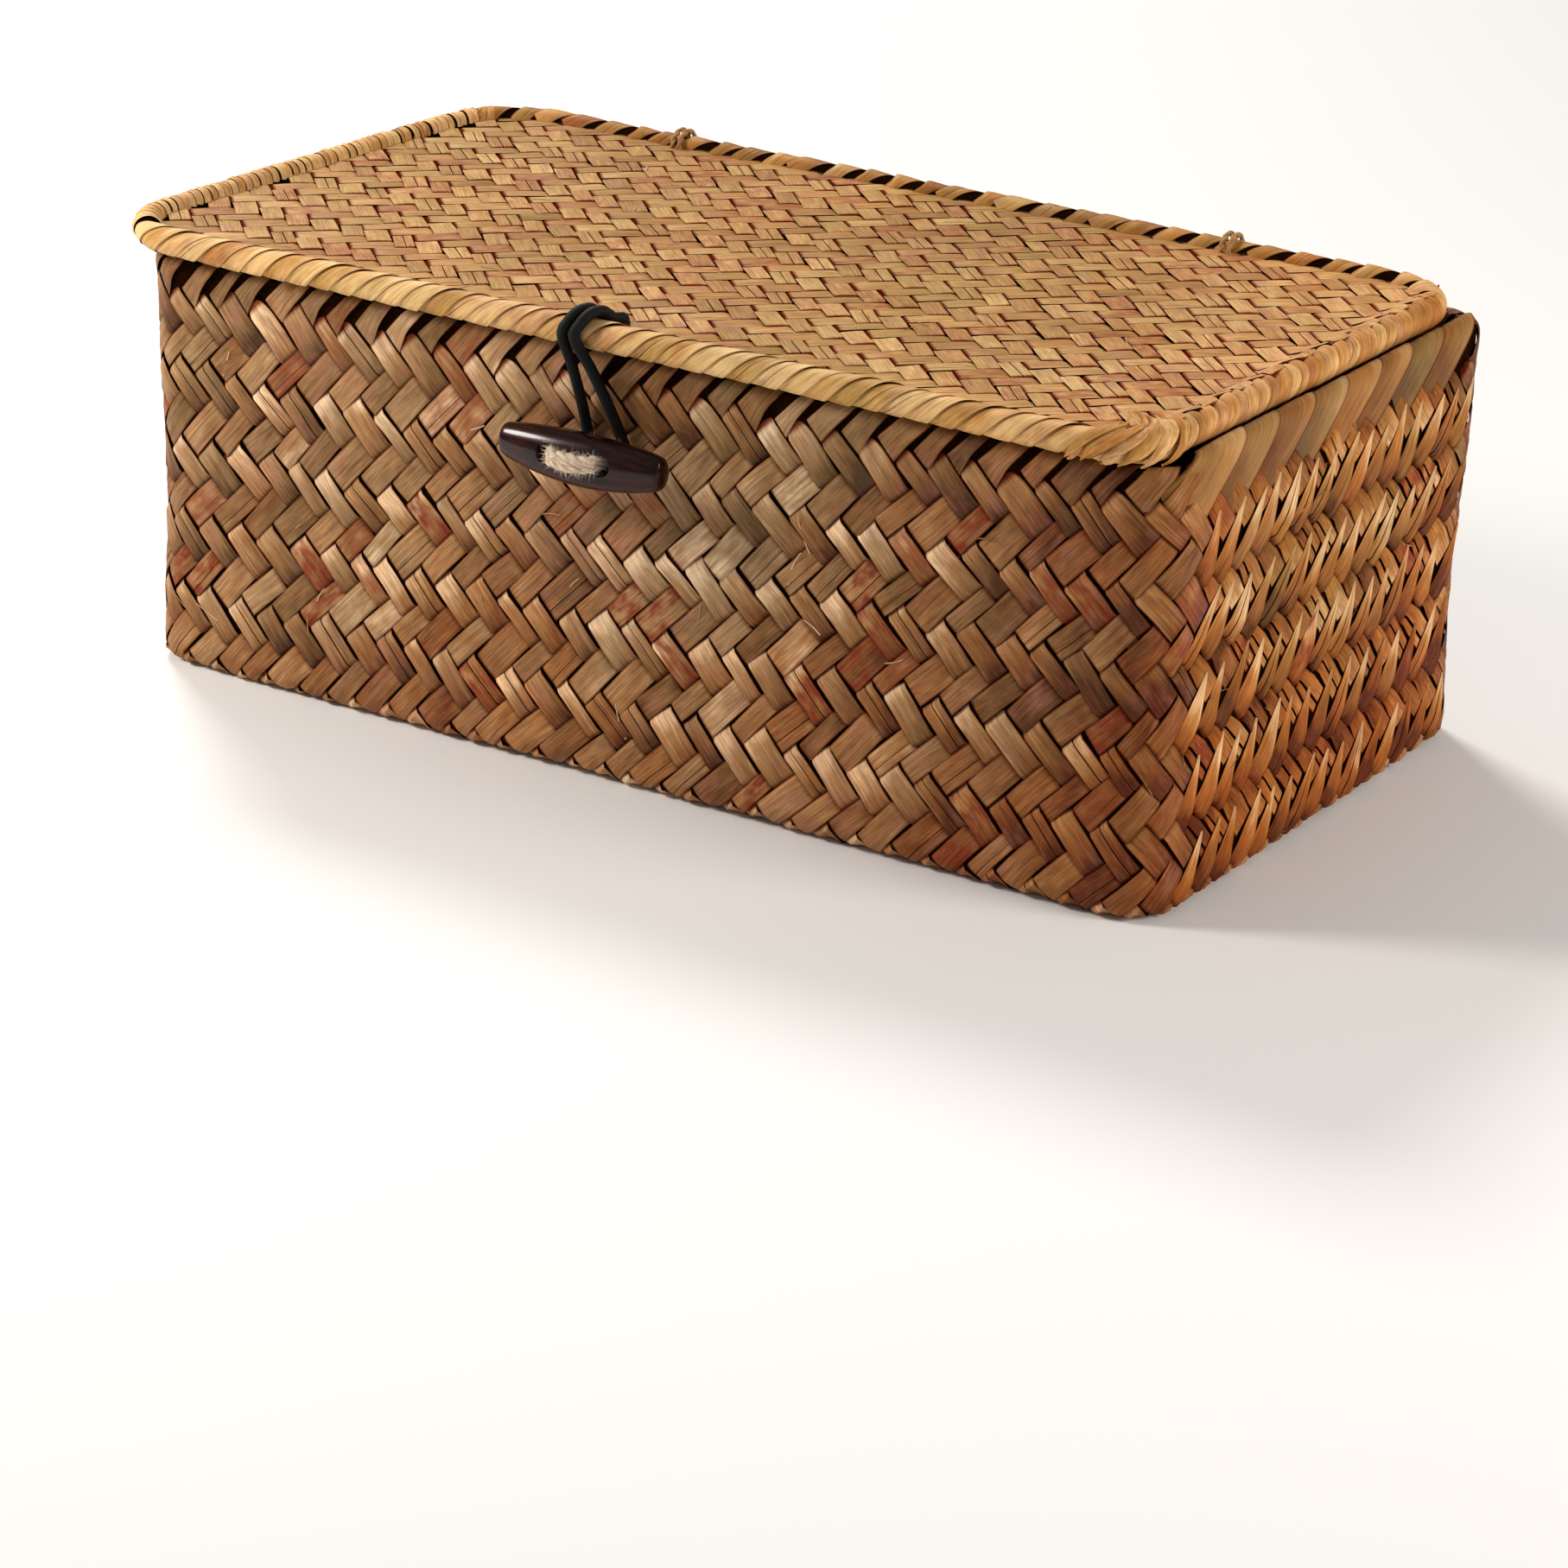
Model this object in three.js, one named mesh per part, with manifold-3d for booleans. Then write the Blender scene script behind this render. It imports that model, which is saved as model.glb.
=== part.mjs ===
import * as THREE from 'three';
import { mergeVertices } from 'three/addons/utils/BufferGeometryUtils.js';
import Module from 'manifold-3d';

// Plaited straw box with a hinged lid, closed by a cord loop over a toggle.
// Millimetres, +Z up, front towards -Y. The origin is the centre of the body's underside.

// Running gap between pieces that touch, and how far a cutter passes what it cuts
const CLEARANCE = 0.3;
const OVERRUN = 2;

// Body: outer size over the folded rim
const BODY_WIDTH = 285;
const BODY_DEPTH = 159;
const BODY_HEIGHT = 104;
const BODY_CORNER_RADIUS = 14;
const FOOT_RADIUS = 3;
const WALL_THICKNESS = 3;
const BASE_THICKNESS = 3.2;
const WALL_WAIST = 1.2;

// Folded rim: strand ends turned over a flat splint
const FOLD_HEIGHT = 15;
const FOLD_PROUD = 0.5;
const LEAF_THICKNESS = 1.1;
const LEAF_PITCH = 8.9;
const SIDE_LEAF_PITCH = 21.8;
const LEAF_RELIEF = 0.6;
const LEAF_LEAN = 6;
const SPLINT_THICKNESS = 1.7;
const SPLINT_HEIGHT = 10.5;

// Lid: how far its roll passes the body on each side, and its own sizes
const LID_OVERHANG_FRONT = 5.2;
const LID_OVERHANG_LEFT = 7.8;
const LID_SETBACK_RIGHT = 4.75;
const LID_SETBACK_BACK = 2.15;
const ROLL_DIAMETER = 7.5;
const ROLL_CORNER_RADIUS = 20;
const ROLL_BORE_DIAMETER = 4.4;
const WRAP_PITCH = 8.9;
const WRAP_RELIEF = 0.45;
const WRAP_LEAN = 8;
const HOOP_DIAMETER = 3;
const PANEL_THICKNESS = 2.4;

// Toggle: a spindle with two drilled holes
const TOGGLE_LENGTH = 44;
const TOGGLE_HEIGHT = 12.6;
const TOGGLE_DEPTH = 9.6;
const TOGGLE_SAG = 0.9;
const TOGGLE_X = -2;
const TOGGLE_DROP = 22;
const TOGGLE_HOLE_DIAMETER = 4.8;
const TOGGLE_HOLE_SPACING = 15;
const TOGGLE_SWIVEL_RISE = 0.6;

// Twine of the toggle: stitch strand, and the shank through the front wall
const STITCH_DIAMETER = 2.2;
const SHANK_WIDTH = 6.8;
const SHANK_HEIGHT = 3.2;
const SHANK_KNOT_WIDTH = 9;
const SHANK_KNOT_DEPTH = 5;
const SHANK_KNOT_HEIGHT = 6.5;

// Elastic cord loop of the lid, and its knot under the panel
const CORD_DIAMETER = 2.7;
const CORD_GAP = 0.6;
const CORD_EXIT_X = -4.5;
const CORD_RIM_X = -9;
const CORD_EXIT_SETBACK = 2;
const LOOP_KNOT_WIDTH = 8.5;
const LOOP_KNOT_DEPTH = 5;
const LOOP_KNOT_HEIGHT = 4.6;

// Hinge ties: two turns of twine each, through the back wall and round the lid's roll
const TIE_DIAMETER = 1.8;
const TIE_PITCH = 2.4;
const TIE_TURNS = 2;
const TIE_SPACING = 160;
const TIE_HOLE_DROP = 4;
const TIE_KNOT_WIDTH = 7;
const TIE_KNOT_DEPTH = 4.4;
const TIE_KNOT_HEIGHT = 5;
const TIE_KNOT_DROP = 8;

// Sizes that follow from those above
const RIM_THICKNESS = SPLINT_THICKNESS + 2 * (LEAF_THICKNESS + CLEARANCE);
const SHOULDER_Z = BODY_HEIGHT - FOLD_HEIGHT;
const SPLINT_TOP_Z = BODY_HEIGHT - LEAF_THICKNESS - CLEARANCE;
const TONGUE_INSET = LEAF_THICKNESS + CLEARANCE;
const ROLL_RADIUS = ROLL_DIAMETER / 2;
const ROLL_Z = BODY_HEIGHT + CLEARANCE + ROLL_RADIUS;
const LID_LEFT = -BODY_WIDTH / 2 - LID_OVERHANG_LEFT;
const LID_RIGHT = BODY_WIDTH / 2 - LID_SETBACK_RIGHT;
const LID_FRONT = -BODY_DEPTH / 2 - LID_OVERHANG_FRONT;
const LID_BACK = BODY_DEPTH / 2 - LID_SETBACK_BACK;
const LID_X = (LID_LEFT + LID_RIGHT) / 2;
const LID_Y = (LID_FRONT + LID_BACK) / 2;
const HINGE_Y = LID_BACK - ROLL_RADIUS;
const ROLL_FRONT_Y = LID_FRONT + ROLL_RADIUS;
const CORD_RADIUS = CORD_DIAMETER / 2;
const STITCH_RADIUS = STITCH_DIAMETER / 2;
const TIE_RADIUS = TIE_DIAMETER / 2;
const CORD_HALF_SPACING = (CORD_DIAMETER + CORD_GAP) / 2;
const TOGGLE_Z = BODY_HEIGHT - TOGGLE_DROP;
const WALL_FACE_Y = -BODY_DEPTH / 2 + wallInset(TOGGLE_Z);
const CORD_EXIT_Y = ROLL_FRONT_Y + ROLL_RADIUS + CLEARANCE + CORD_RADIUS + CORD_EXIT_SETBACK;
const CORD_LANE_Y = WALL_FACE_Y - CLEARANCE - CORD_RADIUS;
const SHANK_FRONT_Y = CORD_LANE_Y - CORD_RADIUS - CLEARANCE;
const STITCH_LANE_Y = SHANK_FRONT_Y - CLEARANCE - STITCH_RADIUS;
const TOGGLE_Y = STITCH_LANE_Y - STITCH_RADIUS - CLEARANCE - TOGGLE_DEPTH / 2;
const SWIVEL_Z = TOGGLE_Z + TOGGLE_SWIVEL_RISE;

const wasm = await Module();
wasm.setup();

// How far the plaited wall lies inside the rim's outline at a height
function wallInset(z) {
  const lift = Math.sin(Math.PI * Math.min(Math.max(z / SHOULDER_Z, 0), 1));
  return FOLD_PROUD + WALL_WAIST * lift * lift;
}

// A rounded rectangle, walked by arc length from the left end of its front side
class RoundedRectangle {
  constructor(width, depth, radius, centreX = 0, centreY = 0) {
    this.radius = radius;
    this.centre = [centreX, centreY];
    this.reaches = [depth / 2, width / 2, depth / 2, width / 2];
    this.runs = [width, depth, width, depth].map((side) => side - 2 * radius);
    this.turn = Math.PI * radius / 2;
    this.length = this.runs.reduce((sum, run) => sum + run, 0) + 4 * this.turn;
  }

  // Point on the outline and its outward normal
  at(distance) {
    let rest = ((distance % this.length) + this.length) % this.length;
    let side = 0;
    while (side < 3 && rest > this.runs[side] + this.turn) {
      rest -= this.runs[side] + this.turn;
      side += 1;
    }
    const heading = side * Math.PI / 2;
    const bend = Math.max(0, rest - this.runs[side]) / this.radius;
    const along = Math.min(rest, this.runs[side]) - this.runs[side] / 2;
    const core = this.reaches[side] - this.radius;
    const facing = heading - Math.PI / 2 + bend;
    const normal = [Math.cos(facing), Math.sin(facing)];
    const x = Math.sin(heading) * core + Math.cos(heading) * along + normal[0] * this.radius;
    const y = -Math.cos(heading) * core + Math.sin(heading) * along + normal[1] * this.radius;
    return { x: x + this.centre[0], y: y + this.centre[1], normal };
  }

  // True where the stretch from one distance to the next touches a corner
  bends(from, to) {
    let start = -this.turn;
    return [...this.runs, this.runs[0]].some((run) => {
      const corner = start;
      start = corner + this.turn + run;
      return to > corner && from < corner + this.turn;
    });
  }

  // Distances that follow the outline, with steps for each run and each corner
  stations(runSteps, turnSteps) {
    const list = [];
    let start = 0;
    this.runs.forEach((run, side) => {
      const steps = runSteps[side % 2];
      for (let i = 0; i < steps; i += 1) {
        list.push(start + run * i / steps);
      }
      for (let i = 0; i < turnSteps; i += 1) {
        list.push(start + run + this.turn * i / turnSteps);
      }
      start += run + this.turn;
    });
    return list;
  }

  // A point set in from the outline at a height
  point(distance, inset, z) {
    const spot = this.at(distance);
    return [spot.x - spot.normal[0] * inset, spot.y - spot.normal[1] * inset, z];
  }
}

// A solid from points and triangles, turned so that its faces point out
function solid(points, triangles) {
  let volume = 0;
  for (const [a, b, c] of triangles) {
    const [p, q, r] = [points[a], points[b], points[c]];
    volume += p[0] * (q[1] * r[2] - q[2] * r[1]);
    volume += p[1] * (q[2] * r[0] - q[0] * r[2]);
    volume += p[2] * (q[0] * r[1] - q[1] * r[0]);
  }
  const faces = volume > 0 ? triangles : triangles.map(([a, b, c]) => [a, c, b]);
  const geometry = new THREE.BufferGeometry();
  geometry.setAttribute('position', new THREE.Float32BufferAttribute(points.flat(), 3));
  geometry.setIndex(faces.flat());
  geometry.computeVertexNormals();
  return geometry;
}

// Triangles between two rows of the same number of points, each row closed on itself
function band(first, second, count) {
  const triangles = [];
  for (let i = 0; i < count; i += 1) {
    const next = (i + 1) % count;
    triangles.push([first + i, first + next, second + next]);
    triangles.push([first + i, second + next, second + i]);
  }
  return triangles;
}

// A ring: sections that follow each other round and close on the first
function ring(sections) {
  const count = sections[0].length;
  const triangles = sections.flatMap((section, j) => {
    return band(j * count, ((j + 1) % sections.length) * count, count);
  });
  return solid(sections.flat(), triangles);
}

// A lofted body: rows of points from one end to the other, each end closed by a fan
function loft(rows) {
  const count = rows[0].length;
  const points = rows.flat();
  const triangles = rows.slice(1).flatMap((row, j) => band(j * count, (j + 1) * count, count));
  for (const start of [0, (rows.length - 1) * count]) {
    const rim = points.slice(start, start + count);
    const centre = [0, 1, 2].map((k) => rim.reduce((sum, p) => sum + p[k], 0) / count);
    points.push(centre);
    for (let i = 0; i < count; i += 1) {
      const pair = [start + i, start + (i + 1) % count];
      triangles.push(start === 0 ? [points.length - 1, pair[1], pair[0]] : [points.length - 1, ...pair]);
    }
  }
  return solid(points, triangles);
}

function toManifold(geometry) {
  const bare = geometry.clone();
  bare.deleteAttribute('normal');
  bare.deleteAttribute('uv');
  const merged = mergeVertices(bare);
  const vertProperties = new Float32Array(merged.attributes.position.array);
  const triVerts = new Uint32Array(merged.index.array);
  return new wasm.Manifold(new wasm.Mesh({ numProp: 3, vertProperties, triVerts }));
}

function fromManifold(manifold) {
  const mesh = manifold.getMesh();
  const geometry = new THREE.BufferGeometry();
  geometry.setAttribute('position', new THREE.Float32BufferAttribute(mesh.vertProperties, 3));
  geometry.setIndex(Array.from(mesh.triVerts));
  geometry.computeVertexNormals();
  return geometry;
}

function cut(geometry, cutters) {
  return fromManifold(cutters.reduce((rest, c) => rest.subtract(toManifold(c)), toManifold(geometry)));
}

function join(geometries) {
  const [first, ...others] = geometries.map(toManifold);
  return fromManifold(others.reduce((whole, other) => whole.add(other), first));
}

// A box between two corners
function block(low, high) {
  const size = high.map((value, k) => value - low[k]);
  const box = new THREE.BoxGeometry(...size);
  return box.translate(...low.map((value, k) => value + size[k] / 2));
}

// A flattened ball, for a pulled knot
function lump(centre, size) {
  const ball = new THREE.SphereGeometry(1, 10, 7);
  ball.scale(size[0] / 2, size[1] / 2, size[2] / 2);
  return ball.translate(...centre);
}

// A round strand along a smooth path through points
function strand(points, diameter, steps, sides) {
  const path = new THREE.CatmullRomCurve3(points.map((p) => new THREE.Vector3(...p)), false, 'centripetal');
  const section = new THREE.Shape();
  for (let i = 0; i < sides; i += 1) {
    const angle = 2 * Math.PI * i / sides;
    const spot = [diameter / 2 * Math.cos(angle), diameter / 2 * Math.sin(angle)];
    section[i === 0 ? 'moveTo' : 'lineTo'](...spot);
  }
  return new THREE.ExtrudeGeometry(section, { steps, extrudePath: path, bevelEnabled: false });
}

const bodyOutline = new RoundedRectangle(BODY_WIDTH, BODY_DEPTH, BODY_CORNER_RADIUS);
const rollLine = new RoundedRectangle(
  LID_RIGHT - LID_LEFT - ROLL_DIAMETER,
  LID_BACK - LID_FRONT - ROLL_DIAMETER,
  ROLL_CORNER_RADIUS,
  LID_X,
  LID_Y,
);

const RING_RUN_STEPS = [3, 2];
const RING_TURN_STEPS = 6;

// Places of the two hinge ties and of their hole through the back wall
const tieXs = [-1, 1].map((side) => LID_X + side * TIE_SPACING / 2);
const TIE_HALF_WIDTH = TIE_PITCH * TIE_TURNS / 2 + TIE_RADIUS + CLEARANCE;
const TIE_HOLE_Z = SHOULDER_Z - TIE_HOLE_DROP;
const TIE_INNER_Y = HINGE_Y - ROLL_RADIUS - CLEARANCE - TIE_RADIUS;
const TIE_OUTER_Y = BODY_DEPTH / 2 + CLEARANCE + TIE_RADIUS;

// Body: base and four walls of one plait, with a tongue that stands up into the folded rim
function wovenBody() {
  const stations = bodyOutline.stations(RING_RUN_STEPS, RING_TURN_STEPS);
  const row = (inset, z) => stations.map((s) => bodyOutline.point(s, inset, z));
  const levelShares = [0.22, 0.4, 0.6, 0.8];
  const footSteps = 3;
  const tongueTop = SPLINT_TOP_Z - SPLINT_HEIGHT - CLEARANCE;
  const tongueInner = TONGUE_INSET + SPLINT_THICKNESS;
  const rows = [];
  for (let i = 0; i <= footSteps; i += 1) {
    const angle = Math.PI / 2 * i / footSteps;
    const inset = FOLD_PROUD + FOOT_RADIUS * (1 - Math.sin(angle));
    rows.push(row(inset, FOOT_RADIUS * (1 - Math.cos(angle))));
  }
  levelShares.forEach((share) => rows.push(row(wallInset(share * SHOULDER_Z), share * SHOULDER_Z)));
  rows.push(row(FOLD_PROUD, SHOULDER_Z));
  rows.push(row(TONGUE_INSET, SHOULDER_Z));
  rows.push(row(TONGUE_INSET, tongueTop));
  rows.push(row(tongueInner, tongueTop));
  rows.push(row(tongueInner, SHOULDER_Z));
  rows.push(row(FOLD_PROUD + WALL_THICKNESS, SHOULDER_Z));
  levelShares.toReversed().forEach((share) => {
    rows.push(row(wallInset(share * SHOULDER_Z) + WALL_THICKNESS, share * SHOULDER_Z));
  });
  rows.push(row(FOLD_PROUD + WALL_THICKNESS, BASE_THICKNESS + FOOT_RADIUS));
  rows.push(row(FOLD_PROUD + WALL_THICKNESS + FOOT_RADIUS, BASE_THICKNESS));

  const shankHole = new THREE.CylinderGeometry(1, 1, 2 * (WALL_THICKNESS + OVERRUN), 14);
  shankHole.scale(SHANK_WIDTH / 2 + CLEARANCE, 1, SHANK_HEIGHT / 2 + CLEARANCE);
  shankHole.translate(TOGGLE_X, WALL_FACE_Y, SWIVEL_Z);
  const tieHoles = tieXs.map((x) => block(
    [x - TIE_HALF_WIDTH, BODY_DEPTH / 2 - RIM_THICKNESS - OVERRUN, TIE_HOLE_Z - TIE_RADIUS - CLEARANCE],
    [x + TIE_HALF_WIDTH, BODY_DEPTH / 2 + OVERRUN, TIE_HOLE_Z + TIE_RADIUS + CLEARANCE],
  ));
  return cut(loft(rows), [shankHole, ...tieHoles]);
}

// Start and width of each leaf of the folded rim: narrow in front and behind, broad at the sides
function leafSpans() {
  const [frontRun, sideRun] = bodyOutline.runs;
  const long = [frontRun + 2 * bodyOutline.turn, LEAF_PITCH];
  const short = [sideRun, SIDE_LEAF_PITCH];
  const spans = [];
  let start = -bodyOutline.turn;
  for (const [run, pitch] of [long, short, long, short]) {
    const count = Math.round(run / pitch);
    for (let i = 0; i < count; i += 1) {
      spans.push([start + run * i / count, run / count]);
    }
    start += run;
  }
  return spans;
}

// Folded rim: slanting leaves laid like shingles round the mouth, turned over the splint
function rimFold() {
  const edgeShare = 0.92;
  const bottom = SHOULDER_Z + CLEARANCE;
  const crease = LEAF_THICKNESS;
  const inside = BODY_HEIGHT - LEAF_THICKNESS;
  const sections = [];
  for (const [start, width] of leafSpans()) {
    const bends = bodyOutline.bends(start - LEAF_LEAN, start + width + LEAF_LEAN);
    const shares = bends ? [0, edgeShare / 2, edgeShare] : [0, edgeShare];
    for (const share of shares) {
      const low = LEAF_RELIEF * (1 - share / edgeShare);
      const spot = (lean, inset, z) => bodyOutline.point(start + share * width + lean, inset, z);
      sections.push([
        spot(0, low, bottom),
        spot(LEAF_LEAN, low, BODY_HEIGHT - crease),
        spot(LEAF_LEAN, crease, BODY_HEIGHT - low / 2),
        spot(LEAF_LEAN * 2 / 3, RIM_THICKNESS - crease, BODY_HEIGHT - low / 2),
        spot(LEAF_LEAN / 3, RIM_THICKNESS, BODY_HEIGHT - crease),
        spot(0, RIM_THICKNESS, bottom),
        spot(0, RIM_THICKNESS - LEAF_THICKNESS, bottom),
        spot(0, RIM_THICKNESS - LEAF_THICKNESS, inside),
        spot(0, LEAF_THICKNESS, inside),
        spot(0, LEAF_THICKNESS, bottom),
      ]);
    }
  }
  return ring(sections);
}

function rimSplint() {
  const inner = TONGUE_INSET + SPLINT_THICKNESS;
  const corners = [
    [TONGUE_INSET, SPLINT_TOP_Z - SPLINT_HEIGHT],
    [TONGUE_INSET, SPLINT_TOP_Z],
    [inner, SPLINT_TOP_Z],
    [inner, SPLINT_TOP_Z - SPLINT_HEIGHT],
  ];
  const stations = bodyOutline.stations(RING_RUN_STEPS, RING_TURN_STEPS);
  return ring(stations.map((s) => corners.map(([inset, z]) => bodyOutline.point(s, inset, z))));
}

// Lid rim: strands wound over the hoop as a roll, open inwards where the panel enters
function lidRim() {
  const wraps = Math.round(rollLine.length / WRAP_PITCH);
  const pitch = rollLine.length / wraps;
  const edgeShare = 0.92;
  const outerSteps = 8;
  const boreSteps = 4;
  const boreRadius = ROLL_BORE_DIAMETER / 2;
  const slotHalf = PANEL_THICKNESS / 2 + CLEARANCE;
  const outerEnd = Math.PI - Math.asin(slotHalf / ROLL_RADIUS);
  const boreEnd = Math.PI - Math.asin(slotHalf / boreRadius);
  const sections = [];
  for (let wrap = 0; wrap < wraps; wrap += 1) {
    const start = wrap * pitch;
    const bends = rollLine.bends(start - WRAP_LEAN, start + pitch + WRAP_LEAN);
    const shares = bends ? [0, edgeShare / 2, edgeShare] : [0, edgeShare];
    for (const share of shares) {
      const radius = ROLL_RADIUS - WRAP_RELIEF * (1 - share / edgeShare);
      const section = [];
      const add = (angle, reach, turn) => {
        const lean = WRAP_LEAN / 2 * turn;
        const z = ROLL_Z + reach * Math.sin(angle);
        section.push(rollLine.point(start + share * pitch + lean, -reach * Math.cos(angle), z));
      };
      for (let i = 0; i <= outerSteps; i += 1) {
        const turn = 1 - 2 * i / outerSteps;
        add(outerEnd * turn, radius, turn);
      }
      for (let i = 0; i <= boreSteps; i += 1) {
        const turn = 2 * i / boreSteps - 1;
        add(boreEnd * turn, boreRadius, turn);
      }
      sections.push(section);
    }
  }
  return ring(sections);
}

function lidHoop() {
  const sides = 6;
  const stations = rollLine.stations(RING_RUN_STEPS, RING_TURN_STEPS);
  return ring(stations.map((s) => Array.from({ length: sides }, (_, i) => {
    const angle = 2 * Math.PI * i / sides;
    const reach = HOOP_DIAMETER / 2;
    return rollLine.point(s, reach * Math.cos(angle), ROLL_Z + reach * Math.sin(angle));
  })));
}

// Lid panel: a plaited plate whose edge lies in the roll, with holes for the ties and the cord
function lidPanel() {
  const inset = HOOP_DIAMETER / 2 + CLEARANCE;
  const stations = rollLine.stations([1, 1], RING_TURN_STEPS);
  const bottom = ROLL_Z - PANEL_THICKNESS / 2;
  const top = ROLL_Z + PANEL_THICKNESS / 2;
  const rows = [bottom, top].map((z) => stations.map((s) => rollLine.point(s, inset, z)));
  const tieReach = TIE_OUTER_Y + TIE_RADIUS + CLEARANCE - HINGE_Y;
  const tieHoles = tieXs.map((x) => block(
    [x - TIE_HALF_WIDTH, HINGE_Y - tieReach, bottom - OVERRUN],
    [x + TIE_HALF_WIDTH, HINGE_Y - ROLL_RADIUS + CLEARANCE, top + OVERRUN],
  ));
  const half = CORD_HALF_SPACING + CORD_RADIUS + CLEARANCE;
  const cordHole = block(
    [CORD_EXIT_X - half, CORD_EXIT_Y - CORD_RADIUS - CLEARANCE, bottom - OVERRUN],
    [CORD_EXIT_X + half, CORD_EXIT_Y + CORD_RADIUS + CLEARANCE, top + OVERRUN],
  );
  return cut(loft(rows), [...tieHoles, cordHole]);
}

// Toggle: a blunt spindle, slightly sagging, fullest in the middle
function toggleBody() {
  const alongShares = [-1, -0.975, -0.9, -0.7, -0.45, -0.2, 0, 0.2, 0.45, 0.7, 0.9, 0.975, 1];
  const girthShares = [0.44, 0.6, 0.68, 0.81, 0.92, 0.985, 1, 0.985, 0.92, 0.81, 0.68, 0.6, 0.44];
  const sides = 16;
  const rows = alongShares.map((along, j) => {
    const sag = TOGGLE_SAG * (along * along - 0.5);
    return Array.from({ length: sides }, (_, i) => {
      const angle = 2 * Math.PI * i / sides;
      return [
        TOGGLE_X + along * TOGGLE_LENGTH / 2,
        TOGGLE_Y + girthShares[j] * TOGGLE_DEPTH / 2 * Math.cos(angle),
        TOGGLE_Z + sag + girthShares[j] * TOGGLE_HEIGHT / 2 * Math.sin(angle),
      ];
    });
  });
  const holes = [-1, 1].map((side) => {
    const radius = TOGGLE_HOLE_DIAMETER / 2;
    const drill = new THREE.CylinderGeometry(radius, radius, TOGGLE_DEPTH + OVERRUN, 14);
    return drill.translate(TOGGLE_X + side * TOGGLE_HOLE_SPACING / 2, TOGGLE_Y, SWIVEL_Z);
  });
  return cut(loft(rows), holes);
}

// Twine stitch: across the front of the toggle, back through both holes and in to the shank
function toggleStitch() {
  const holeX = TOGGLE_HOLE_SPACING / 2;
  const frontY = TOGGLE_Y - TOGGLE_DEPTH / 2 - CLEARANCE - STITCH_RADIUS;
  const bulgeY = frontY - STITCH_RADIUS / 2;
  const side = [
    [STITCH_RADIUS + CLEARANCE, STITCH_LANE_Y],
    [holeX - STITCH_DIAMETER, STITCH_LANE_Y],
    [holeX - STITCH_RADIUS / 4, STITCH_LANE_Y - STITCH_RADIUS],
    [holeX, TOGGLE_Y],
    [holeX - STITCH_RADIUS / 4, frontY + STITCH_RADIUS],
    [holeX - STITCH_DIAMETER, frontY],
  ];
  const left = side.map(([x, y]) => [TOGGLE_X - x, y, SWIVEL_Z]);
  const right = side.toReversed().map(([x, y]) => [TOGGLE_X + x, y, SWIVEL_Z]);
  return strand([...left, [TOGGLE_X, bulgeY, SWIVEL_Z], ...right], STITCH_DIAMETER, 34, 8);
}

// Twine shank: a gathered bundle through the front wall, held by its knot inside
function toggleShank() {
  const knotY = WALL_FACE_Y + WALL_THICKNESS + CLEARANCE + SHANK_KNOT_DEPTH / 2;
  const length = knotY - SHANK_FRONT_Y;
  const bundle = new THREE.CylinderGeometry(1, 1, length, 14);
  bundle.scale(SHANK_WIDTH / 2, 1, SHANK_HEIGHT / 2);
  bundle.translate(TOGGLE_X, (SHANK_FRONT_Y + knotY) / 2, SWIVEL_Z);
  const knot = lump([TOGGLE_X, knotY, SWIVEL_Z], [SHANK_KNOT_WIDTH, SHANK_KNOT_DEPTH, SHANK_KNOT_HEIGHT]);
  return join([bundle, knot]);
}

// Elastic loop: out of the panel, over the roll, down, round the shank and back
function elasticLoop() {
  const over = ROLL_RADIUS + CLEARANCE + CORD_RADIUS;
  const under = ROLL_Z - PANEL_THICKNESS / 2;
  const legHalf = SHANK_WIDTH / 2 + CLEARANCE + CORD_RADIUS;
  const drop = SHANK_HEIGHT / 2 + CLEARANCE + CORD_RADIUS;
  const turnSteps = 5;
  const side = (sign) => {
    const exitX = CORD_EXIT_X + sign * CORD_HALF_SPACING;
    const points = [under, ROLL_Z + PANEL_THICKNESS].map((z) => [exitX, CORD_EXIT_Y, z]);
    for (let i = 1; i <= turnSteps; i += 1) {
      const angle = Math.PI * i / turnSteps;
      const x = CORD_EXIT_X + (CORD_RIM_X - CORD_EXIT_X) * i / turnSteps + sign * CORD_HALF_SPACING;
      points.push([x, ROLL_FRONT_Y + over * Math.cos(angle), ROLL_Z + over * Math.sin(angle)]);
    }
    const rimX = CORD_RIM_X + sign * CORD_HALF_SPACING;
    const legX = TOGGLE_X + sign * legHalf;
    const legShares = [[0.28, 0.42], [0.62, 0.8], [0.85, 0.97]];
    for (const [fall, back] of legShares) {
      const x = rimX + (legX - rimX) * fall;
      const y = ROLL_FRONT_Y - over + (CORD_LANE_Y - ROLL_FRONT_Y + over) * back;
      points.push([x, y, ROLL_Z + (SWIVEL_Z - ROLL_Z) * fall]);
    }
    points.push([legX, CORD_LANE_Y, SWIVEL_Z]);
    return points;
  };
  const turn = [-1, 0, 1].map((step) => {
    const angle = Math.PI / 4 * step;
    return [TOGGLE_X + legHalf * Math.sin(angle), CORD_LANE_Y, SWIVEL_Z - drop * Math.cos(angle)];
  });
  return strand([...side(-1), ...turn, ...side(1).toReversed()], CORD_DIAMETER, 56, 8);
}

// Knot of the elastic loop, pulled up under the panel
function loopKnot() {
  const y = -BODY_DEPTH / 2 + RIM_THICKNESS + CLEARANCE + LOOP_KNOT_DEPTH / 2;
  const z = ROLL_Z - PANEL_THICKNESS / 2 - CLEARANCE - LOOP_KNOT_HEIGHT / 2;
  return lump([CORD_EXIT_X, y, z], [LOOP_KNOT_WIDTH, LOOP_KNOT_DEPTH, LOOP_KNOT_HEIGHT]);
}

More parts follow.
